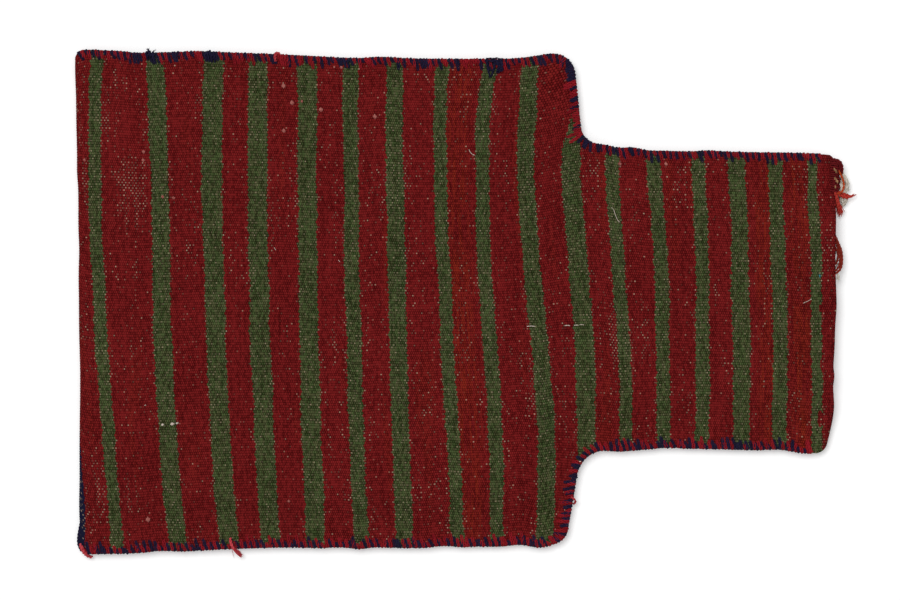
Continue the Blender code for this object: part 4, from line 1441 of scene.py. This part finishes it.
@dataclass
class LooseYarn:
    """Yarn ends, knots and mends. Their places are in millimetres: from the fold, across, and up."""

    surface: Surface
    seed: int = 21

    def __post_init__(self) -> None:
        """Start the dice that vary the fibres."""
        self.dice = random.Random(self.seed)

    def at(self, *points: Place) -> list[Place]:
        """Points with their heights counted from the ground."""
        return [(along * MILLIMETRE - ORIGIN_FROM_FOLD, across * MILLIMETRE, height * MILLIMETRE)
                for along, across, height in points]

    def over(self, *points: Place) -> list[Place]:
        """Points with their heights counted from the upper wall's face."""
        return [(along * MILLIMETRE - ORIGIN_FROM_FOLD, across * MILLIMETRE,
                 height * MILLIMETRE + self.surface.top(along * MILLIMETRE, across * MILLIMETRE))
                for along, across, height in points]

    def strand(self, route: Sequence[Place], thick: Thickness = 1.0) -> Strand:
        """One strand on a smooth curve."""
        return Strand(curved(route), thick, self.dice.random())

    def laid(self, place: Callable[..., list[Place]], rows: Sequence[Row]) -> list[Strand]:
        """The strands of a table, with their heights counted as one of the two methods above does."""
        return [self.strand(place(*points), thick) for points, thick in rows]

    def fray(self, route: Sequence[Place], count: int, spread: float, thick: float = 0.30) -> list[Strand]:
        """Fibres that start together and part along a route.

        Args:
            route: the route that they follow.
            count: how many fibres.
            spread: how far apart their ends lie, in millimetres.
            thick: their thickness, as a share of the yarn's.

        Returns:
            The fibres.
        """
        start = Vector(route[0])
        fibres = []
        for _ in range(count):
            way = [self.dice.gauss(0, 1) * spread * MILLIMETRE for _ in range(2)]
            rise = abs(self.dice.gauss(0, 0.35)) * spread * MILLIMETRE
            reach = self.dice.uniform(0.75, 1.08)
            points = []
            for step, place in enumerate(route):
                share = (step / (len(route) - 1)) ** 1.5
                moved = start + (Vector(place) - start) * reach + Vector((*way, rise)) * share
                points.append((moved.x, moved.y, max(moved.z, 0.0006)))
            fibres.append(Strand(curved(points, 4), (thick, thick, thick * 0.5), self.dice.random()))
        return fibres

    def knot(self) -> bpy.types.Object:
        """The knotted navy end on the upper seam: a thin loop, two thin tails and the knot."""
        strands = self.laid(self.over, KNOT)
        strands += self.fray(self.over((328.0, 184.0, 0.5), (328.9, 179.0, 0.5)), 6, 0.7, 0.2)
        return SpunYarn(twist=0.005, sample=0.0008).sweep("upper_seam_knotted_end", strands, Finish.NAVY)

    def navy_ends(self) -> bpy.types.Object:
        """Navy yarn that stands proud of the seams: a frayed tuft, a bulge and the bound fold corner.

        Returns:
            The piece, as a plain mesh.
        """
        strands = []
        for along, across, tall in NAVY_WRAPS:
            slant = self.dice.uniform(-0.8, 0.8)
            route = self.over((along + 1.4, across - 1.2, 0.3), (along + 0.8, across + tall * 0.45, 1.1),
                              (along + slant * 0.3, across + tall * 0.9, 0.8))
            route += self.at((along + slant, across + tall + 0.8, 4.8),
                             (along + slant + 0.4, across + tall * 0.8, 2.0))
            strands.append(self.strand(route, (0.8, 1.3, 1.3, 1.1, 0.8)))
        strands += self.fray(self.at((56.2, 199.0, 7.6), (55.4, 201.6, 6.8), (54.6, 203.8, 5.6)), 10, 0.7)
        beside = self.at((57.4, 199.0, 7.6), (59.4, 201.2, 6.2), (61.4, 202.4, 5.0))
        strands += self.fray(beside, 6, 0.5, 0.28)
        for number in range(6):
            out = -1.0 + 0.85 * number
            route = self.at((2.6 + 0.25 * number, -168.0 - 2.0 * number, 5.0),
                            (out + 1.4, -179.0, 5.2 - abs(number - 3) * 0.2), (out + 0.2, -187.0, 5.0),
                            (out + 0.2, -193.6, 4.6), (out + 2.2, -199.0, 4.2))
            strands.append(self.strand(route, (0.3, 0.9, 1.05, 1.0, 0.8)))
        return SpunYarn(twist=0.0055).sweep("seam_navy_ends", strands, Finish.NAVY)

    def red_ends(self) -> bpy.types.Object:
        """Red yarn ends at the lower corner, on both seams and at the shoulder.

        Returns:
            The piece, as a plain mesh.
        """
        strands = self.laid(self.at, RED_ENDS)
        tail = self.over((121.0, -188.4, 0.8), (121.8, -192.8, 2.2))
        tail += self.at((123.6, -197.0, 9.4), (126.4, -200.4, 6.8), (129.8, -202.8, 4.4))
        strands.append(Strand(curved(tail[:3]), (1.2, 1.5, 1.2), 0.9))
        strands += self.fray(tail, 40, 0.85, 0.34)
        hairs = self.at((121.6, -193.4, 6.0), (122.2, -198.0, 3.0), (123.6, -203.6, 1.2))
        strands += self.fray(hairs, 5, 0.25, 0.2)
        return SpunYarn(twist=0.0055).sweep("seam_red_ends", strands, Finish.BRIGHT_RED)

    def mending(self) -> bpy.types.Object:
        """Off-white mending stitches and stray hairs.

        Returns:
            The piece, as a plain mesh.
        """
        strands = []
        for start, end, across in STITCHES:
            route = self.over((start, across, -0.3), (start + 0.6, across, 0.25),
                              ((start + end) / 2, across + 0.2, 0.35), (end - 0.6, across, 0.25),
                              (end, across - 0.1, -0.3))
            strands.append(self.strand(route, 0.42))
        for thick, hair in HAIRS:
            strands.append(self.strand(self.over(*((along, across, 0.25) for along, across in hair)), thick))
        for along, across, reach, thick in FLECKS:
            route = self.over((along - reach, across - 0.3, -0.2), (along, across, 0.35),
                              (along + reach, across + 0.2, -0.2))
            strands.append(self.strand(route, (0.4 * thick, thick, 0.4 * thick)))
        spinner = SpunYarn(ply_radius=0.00050, ply_offset=0.00040, squash=0.5, twist=0.004, sample=0.0005)
        return spinner.sweep("mending_stitches", strands, Finish.CREAM)

    def slubs(self) -> bpy.types.Object:
        """Soft lumps of paler wool that were spun into the weft.

        Returns:
            The piece, as a plain mesh.
        """
        strands = []
        for along, across, size in SLUBS:
            for offset in (-0.55, 0.0, 0.55):
                tall = (1.0 - abs(offset) * 0.7) * size
                route = self.over((along + (offset - 0.4) * size, across + 2.2 * tall, -0.5),
                                  (along + offset * 1.5 * size, across + 0.9 * tall, 0.15),
                                  (along + offset * 1.6 * size, across - 0.8 * tall, 0.15),
                                  (along + (offset + 0.3) * size, across - 2.1 * tall, -0.5))
                strands.append(self.strand(route, [size * part for part in (0.4, 1.1, 1.1, 0.4)]))
        spinner = SpunYarn(ply_radius=0.00050, ply_offset=0.00035, squash=0.5, twist=0.004, sample=0.0006)
        return spinner.sweep("wool_slubs", strands, Finish.SLUB)

    def blue_fleck(self) -> bpy.types.Object:
        """The one turquoise fibre that is caught in the neck's last stripe."""
        route = self.over((592.0, 22.2, -0.2), (592.3, 21.2, 0.3), (592.4, 20.0, -0.2))
        strand = self.strand(route, (0.5, 0.9, 0.5))
        return SpunYarn(sample=0.0005).sweep("neck_blue_fibre", [strand], Finish.BLUE)


CORD_WOOL: tuple[Row, ...] = (
    (((607.6, 107.6, 3.4), (610.2, 103.6, 4.8), (613.0, 99.6, 4.8), (614.8, 95.2, 4.2), (614.4, 91.2, 3.8),
      (611.8, 87.8, 4.0)), (0.9, 1.3, 1.5, 1.5, 1.4, 1.0)),
    (((607.0, 100.0, 3.0), (610.4, 97.0, 3.6), (613.2, 93.0, 3.2), (613.0, 88.6, 3.0), (614.6, 85.8, 2.6)),
     (1.2, 1.7, 1.9, 1.5, 0.9)),
    (((607.4, 96.0, 3.4), (610.0, 92.4, 4.6), (611.6, 88.2, 4.6), (613.6, 84.6, 3.2)), (1.2, 1.7, 1.5, 0.9)),
    (((606.6, 91.4, 3.0), (608.8, 89.4, 4.0), (611.0, 86.0, 4.0)), (1.2, 1.6, 1.2)),
    (((609.4, 87.0, 3.0), (612.2, 84.2, 3.2), (613.6, 82.0, 2.6), (612.2, 78.8, 2.0), (610.2, 76.6, 1.8)),
     (1.2, 1.7, 1.7, 1.3, 0.8)),
    (((608.2, 88.6, 2.6), (610.0, 83.8, 2.6), (611.2, 80.0, 2.0)), (1.2, 1.6, 1.0)),
)
WOOL_TUFTS = (
    ((611.6, 100.6, 4.8), (614.6, 98.6, 4.4)), ((612.6, 96.6, 4.6), (616.2, 94.6, 4.4)),
    ((613.2, 92.6, 4.0), (616.2, 90.0, 3.4)), ((612.6, 87.6, 3.8), (615.2, 85.2, 3.0)),
    ((611.6, 82.0, 2.8), (613.2, 78.4, 2.0)))
CORD_CORE = ((604.6, 106.2, 2.0), (605.6, 104.8, 1.6), (605.0, 98.6, 2.0), (606.2, 97.0, 1.8),
             (604.8, 92.4, 1.4))
TOP_LOOPS_AND_MOUTH_SHADE: tuple[Row, ...] = (
    (((602.0, 114.6, 9.0), (605.6, 114.2, 9.0), (608.8, 112.2, 8.4), (610.4, 108.4, 7.4), (610.6, 104.6, 6.6),
      (609.6, 101.6, 6.0)), (0.9, 1.3, 1.5, 1.5, 1.3, 0.9)),
    (((603.2, 112.8, 9.4), (606.4, 111.9, 9.2), (608.6, 109.0, 8.4), (608.8, 105.2, 7.6),
      (607.8, 101.8, 7.2)), (0.9, 1.4, 1.5, 1.4, 0.9)),
    # The next row is no loop: a thick dark strand inside the mouth between the walls, painted shade in the
    # mouth's opening.
    (((602.0, 114.4, 6.6), (604.8, 111.4, 6.4), (605.6, 104.0, 6.0), (605.6, 96.0, 6.0), (604.4, 88.0, 6.4),
      (603.0, 84.0, 6.6)), (1.8, 2.4, 2.4, 2.4, 2.2, 1.2)),
)
RED_TUFT: tuple[Row, ...] = (
    (((605.4, 88.2, 8.8), (608.8, 86.0, 7.4), (612.2, 84.4, 6.0), (615.6, 84.2, 5.0), (618.6, 85.0, 4.2),
      (621.2, 86.4, 3.6)), (1.2, 1.5, 1.6, 1.4, 0.8, 0.2)),
    (((608.8, 87.0, 7.0), (612.6, 85.8, 5.6), (616.0, 85.2, 4.6), (619.2, 85.8, 3.8)), (0.9, 1.2, 1.0, 0.3)),
)
LOOPS: tuple[Row, ...] = (
    (((602.8, 58.0, 11.4), (604.6, 53.6, 10.6), (606.8, 48.2, 9.0), (609.4, 42.2, 7.4), (610.5, 36.0, 6.6),
      (610.1, 30.0, 6.8), (608.2, 25.6, 8.4), (604.0, 22.4, 11.0)),
     (0.8, 1.1, 1.25, 1.25, 1.2, 1.15, 1.1, 0.8)),
    (((602.6, 54.6, 11.0), (604.8, 49.6, 9.6), (607.2, 43.8, 7.8), (608.8, 37.6, 6.4), (608.8, 31.6, 6.4),
      (606.8, 27.0, 8.2), (603.8, 24.4, 10.6)), (0.8, 1.1, 1.15, 1.15, 1.1, 1.0, 0.8)),
    (((602.8, 46.0, 10.6), (605.4, 43.4, 8.6), (607.2, 38.6, 7.0), (606.6, 33.0, 7.2),
      (603.4, 29.0, 10.4)), 1.0),
)
WARP_ENDS: tuple[Row, ...] = (
    (((602.6, 30.6, 8.4), (605.2, 33.0, 6.6), (607.4, 36.4, 5.8)), 0.6),
    (((602.4, 24.6, 8.6), (605.2, 27.6, 6.6), (607.4, 31.4, 5.8)), 0.6),
    (((602.8, 44.4, 7.6), (604.8, 42.2, 6.0), (605.6, 38.6, 5.0)), 0.7),
)


@dataclass
class MouthCord:
    """The worn cord end at the mouth's upper corner, and the yarn that has worked loose below it."""

    yarn: LooseYarn

    def wool(self) -> bpy.types.Object:
        """The cord's frayed grey-white wool.

        Returns:
            The piece, as a plain mesh.
        """
        strands = self.yarn.laid(self.yarn.at, CORD_WOOL)
        for start, end in WOOL_TUFTS:
            middle = tuple((a + b) / 2 for a, b in zip(start, end))
            strands += self.yarn.fray(self.yarn.at(start, middle, end), 16, 0.7, 0.20)
        spinner = SpunYarn(ply_radius=0.00066, ply_offset=0.00072, twist=0.021, sample=0.0009, plies=4)
        return spinner.sweep("mouth_cord_wool", strands, Finish.WOOL)

    def core(self) -> bpy.types.Object:
        """The cord's tan core where it shows between the wraps.

        Returns:
            The piece, as a plain mesh.
        """
        rows = [(((along - 0.7, across + reach, 8.8), (along, across, 10.5),
                  (along + 0.4, across - reach, 9.0)), (0.7, 1.2, 0.7))
                for along, across, reach in CORD_CORE]
        strands = self.yarn.laid(self.yarn.at, rows)
        return SpunYarn(twist=0.006, sample=0.0008).sweep("mouth_cord_core", strands, Finish.TAN)

    def wrapping(self) -> bpy.types.Object:
        """The dark yarn wound tightly round the cord beside the mouth, its loop at the top, and a thick
        dark strand inside the mouth that is painted shade in its opening.

        Returns:
            The piece, as a plain mesh.
        """
        yarn = self.yarn
        strands = []
        for turn in range(15):
            across = 113.2 - 1.75 * turn
            slip = yarn.dice.uniform(-0.5, 0.5)
            tucked = (2.0 if turn < 2 else 0.0) + (0.8 if turn > 12 else 0.0)
            out = 608.2 + 0.6 * math.sin(turn * 1.7) - tucked
            route = yarn.at((600.8, across + 0.9 + slip, 10.6), (603.6, across + 0.5 + slip, 10.4),
                            (606.2, across, 9.4), (out, across - 0.5, 6.6), (out - 0.2, across - 0.9, 3.6),
                            (606.0, across - 1.2, 1.8))
            strands.append(yarn.strand(route, (0.5, 0.9, 1.05, 1.05, 0.95, 0.8)))
        strands += yarn.laid(yarn.at, TOP_LOOPS_AND_MOUTH_SHADE)
        return SpunYarn(twist=0.0055).sweep("mouth_cord_dark_wrapping", strands, Finish.DARK_RED)

    def red_tails(self) -> bpy.types.Object:
        """The pointed tuft and the tail that hangs along the mouth.

        Returns:
            The piece, as a plain mesh.
        """
        yarn = self.yarn
        strands = yarn.laid(yarn.at, RED_TUFT)
        middle = yarn.at((606.4, 88.6, 8.4), (610.0, 87.6, 6.8), (613.6, 86.4, 5.6), (616.8, 86.0, 4.6))
        strands.append(Strand(curved(middle), (1.2, 1.5, 1.1, 0.3), 0.3))
        tuft = yarn.at((610.0, 85.6, 7.2), (613.6, 84.2, 5.6), (617.4, 84.4, 4.6), (621.8, 86.6, 3.4))
        tail = yarn.at((604.2, 88.4, 9.8), (605.4, 83.4, 8.8), (606.8, 78.0, 6.6), (607.8, 73.8, 4.6),
                       (608.2, 70.2, 3.2))
        second = yarn.at((604.8, 87.6, 9.4), (606.6, 82.8, 8.2), (608.4, 78.0, 6.0), (610.0, 74.0, 4.4),
                         (611.0, 70.8, 3.2))
        beside = [(a + 0.0012, b + 0.0004, c - 0.0004) for a, b, c in tail[:4]]
        strands += yarn.fray(tuft, 12, 0.35)
        strands += [Strand(curved(tail[:4]), (1.1, 1.6, 1.7, 1.4), 0.4),
                    Strand(curved(beside), (0.9, 1.3, 1.4, 1.1), 0.2)]
        strands += yarn.fray(tail, 34, 1.05, 0.42) + yarn.fray(second, 30, 0.85, 0.42)
        return SpunYarn(twist=0.0065).sweep("mouth_cord_red_tails", strands, Finish.FLAME)

    def orange_strand(self) -> bpy.types.Object:
        """The orange strand that lies over the cord.

        Returns:
            The piece, as a plain mesh.
        """
        route = self.yarn.at((607.8, 105.6, 8.6), (609.6, 101.8, 8.2), (611.2, 98.0, 7.8), (611.9, 94.2, 7.6),
                             (611.4, 90.6, 7.8), (609.6, 88.0, 8.6), (606.4, 87.0, 9.8))
        strand = self.yarn.strand(route, (0.8, 1.0, 1.0, 1.0, 1.0, 1.0, 0.8))
        return SpunYarn(twist=0.006).sweep("mouth_orange_yarn", [strand], Finish.ORANGE)

    def loose_loops(self) -> bpy.types.Object:
        """The rust-coloured loops that hang out of the mouth."""
        spinner = SpunYarn(ply_radius=0.00068, ply_offset=0.00040, twist=0.006)
        return spinner.sweep("mouth_loose_loops", self.yarn.laid(self.yarn.at, LOOPS), Finish.RUST)

    def warp_ends(self) -> bpy.types.Object:
        """Bare warp ends that show behind the loops.

        Returns:
            The piece, as a plain mesh.
        """
        yarn = self.yarn
        strands = yarn.laid(yarn.at, WARP_ENDS)
        end = yarn.at((603.8, 24.6, 10.0), (607.2, 22.4, 8.4), (607.0, 18.0, 7.4))
        strands += yarn.fray(end, 14, 0.5, 0.40)
        return SpunYarn(twist=0.006).sweep("mouth_warp_ends", strands, Finish.WOOL)


@dataclass(frozen=True)
class Studio:
    """A pale floor, soft light and a camera straight above the bag."""

    frame_width: float = 0.720
    height: float = 4.0
    focus_height: float = 0.008
    sensor: float = 36.0
    middle: tuple[float, float] = (450.0, 300.0)
    sun_share: float = 0.44
    sun_spread: float = 36.0
    sun_way: Place = (-0.32, 0.38, 0.87)
    floor_level: float = 0.82
    floor_glow: float = 0.28
    floor_reach: float = 4.0
    floor_depth: float = 0.0004

    def build(self) -> None:
        """Set up the floor, the lights and the camera."""
        self.floor()
        self.lights()
        self.camera()
        bpy.context.scene.view_settings.view_transform = "Standard"

    def floor(self) -> None:
        """Lay the floor: white where it is lit, with the bag's soft shadow."""
        data = bpy.data.meshes.new("floor")
        corners = [(a * self.floor_reach, b * self.floor_reach, -self.floor_depth)
                   for a, b in ((-1, -1), (1, -1), (1, 1), (-1, 1))]
        data.from_pydata(corners, [], [(0, 1, 2, 3)])
        floor = placed("floor", data)
        material = bpy.data.materials.new("pale_floor")
        material.use_nodes = True
        graph = Graph(material.node_tree)
        inputs = material.node_tree.nodes["Principled BSDF"].inputs
        for name, value in (("Base Color", (self.floor_level,) * 3 + (1.0,)), ("Roughness", 0.9),
                            ("Specular IOR Level", 0.0), ("Emission Strength", self.floor_glow)):
            inputs[name].default_value = value
        rays = graph.node("ShaderNodeLightPath").outputs
        seen = reduce(Wire.most, [Wire(graph, rays[f"Is {kind} Ray"])
                                  for kind in ("Camera", "Glossy", "Transmission")])
        graph.feed(inputs["Emission Color"], graph.blend(seen, (0.0, 0.0, 0.0), (1.0, 1.0, 1.0)))
        data.materials.append(material)

    def lights(self) -> None:
        """A white surround and one soft sun from the upper left."""
        world = bpy.data.worlds.new("studio")
        bpy.context.scene.world = world
        world.use_nodes = True
        graph = Graph(world.node_tree)
        background = world.node_tree.nodes["Background"]
        seen = graph.wire("ShaderNodeLightPath", None, None, "Is Camera Ray")
        graph.feed(background.inputs["Strength"], seen * self.sun_share + (1 - self.sun_share))
        background.inputs["Color"].default_value = (1.0, 1.0, 1.0, 1.0)
        lamp = bpy.data.lights.new("soft_sun", "SUN")
        lamp.angle = math.radians(self.sun_spread)
        tilt = Vector(self.sun_way).normalized()
        lamp.energy = self.sun_share * math.pi / tilt.z
        placed("soft_sun", lamp).rotation_euler = tilt.to_track_quat("Z", "Y").to_euler()

    def camera(self) -> None:
        """Hang the camera over the photo's middle, its up toward +Y."""
        along, sideways = from_photo(*self.middle)
        lens = bpy.data.cameras.new("overhead")
        lens.sensor_width = self.sensor
        lens.lens = self.sensor * self.height / self.frame_width
        lens.clip_end = 20.0
        camera = placed("overhead", lens)
        camera.location = (along - ORIGIN_FROM_FOLD, sideways, self.height + self.focus_height)
        bpy.context.scene.camera = camera


def main() -> None:
    """Build every piece of the bag in order."""
    logging.basicConfig(level=logging.INFO, format="%(name)s: %(message)s")
    Studio().build()
    surface = Surface(BagPattern())
    cloth = WovenCloth(surface).build()
    adopt(cloth, "striped_wool", "kilim_cloth")
    for side, node in ((1, "upper_seam_overcasting"), (-1, "lower_seam_overcasting")):
        seam = SeamOvercasting(surface, side)
        red, navy = seam.build()
        adopt(red, "red_yarn", node)
        adopt(navy, "navy_yarn", node)
        # A navy strand along the seam's edge: painted shade for the wraps' sides seen edge-on.
        adopt(seam.edge_shade_strand(), "navy_yarn", node)
    yarn = LooseYarn(surface)
    adopt(yarn.knot(), "navy_yarn", "upper_seam_knot")
    adopt(yarn.navy_ends(), "navy_yarn")
    adopt(yarn.red_ends(), "red_yarn")
    adopt(yarn.mending(), "grey_wool")
    adopt(yarn.slubs(), "red_yarn")
    adopt(yarn.blue_fleck(), "grey_wool")
    cord = MouthCord(yarn)
    adopt(cord.wool(), "grey_wool", "mouth_cord_stub")
    adopt(cord.core(), "grey_wool", "mouth_cord_stub")
    # The wrapping piece also holds the dark strand that is painted shade inside the mouth.
    adopt(cord.wrapping(), "red_yarn", "mouth_cord_wrapping")
    adopt(cord.red_tails(), "red_yarn")
    adopt(cord.orange_strand(), "red_yarn")
    adopt(cord.loose_loops(), "red_yarn")
    adopt(cord.warp_ends(), "grey_wool")


if __name__ == "__main__":
    main()
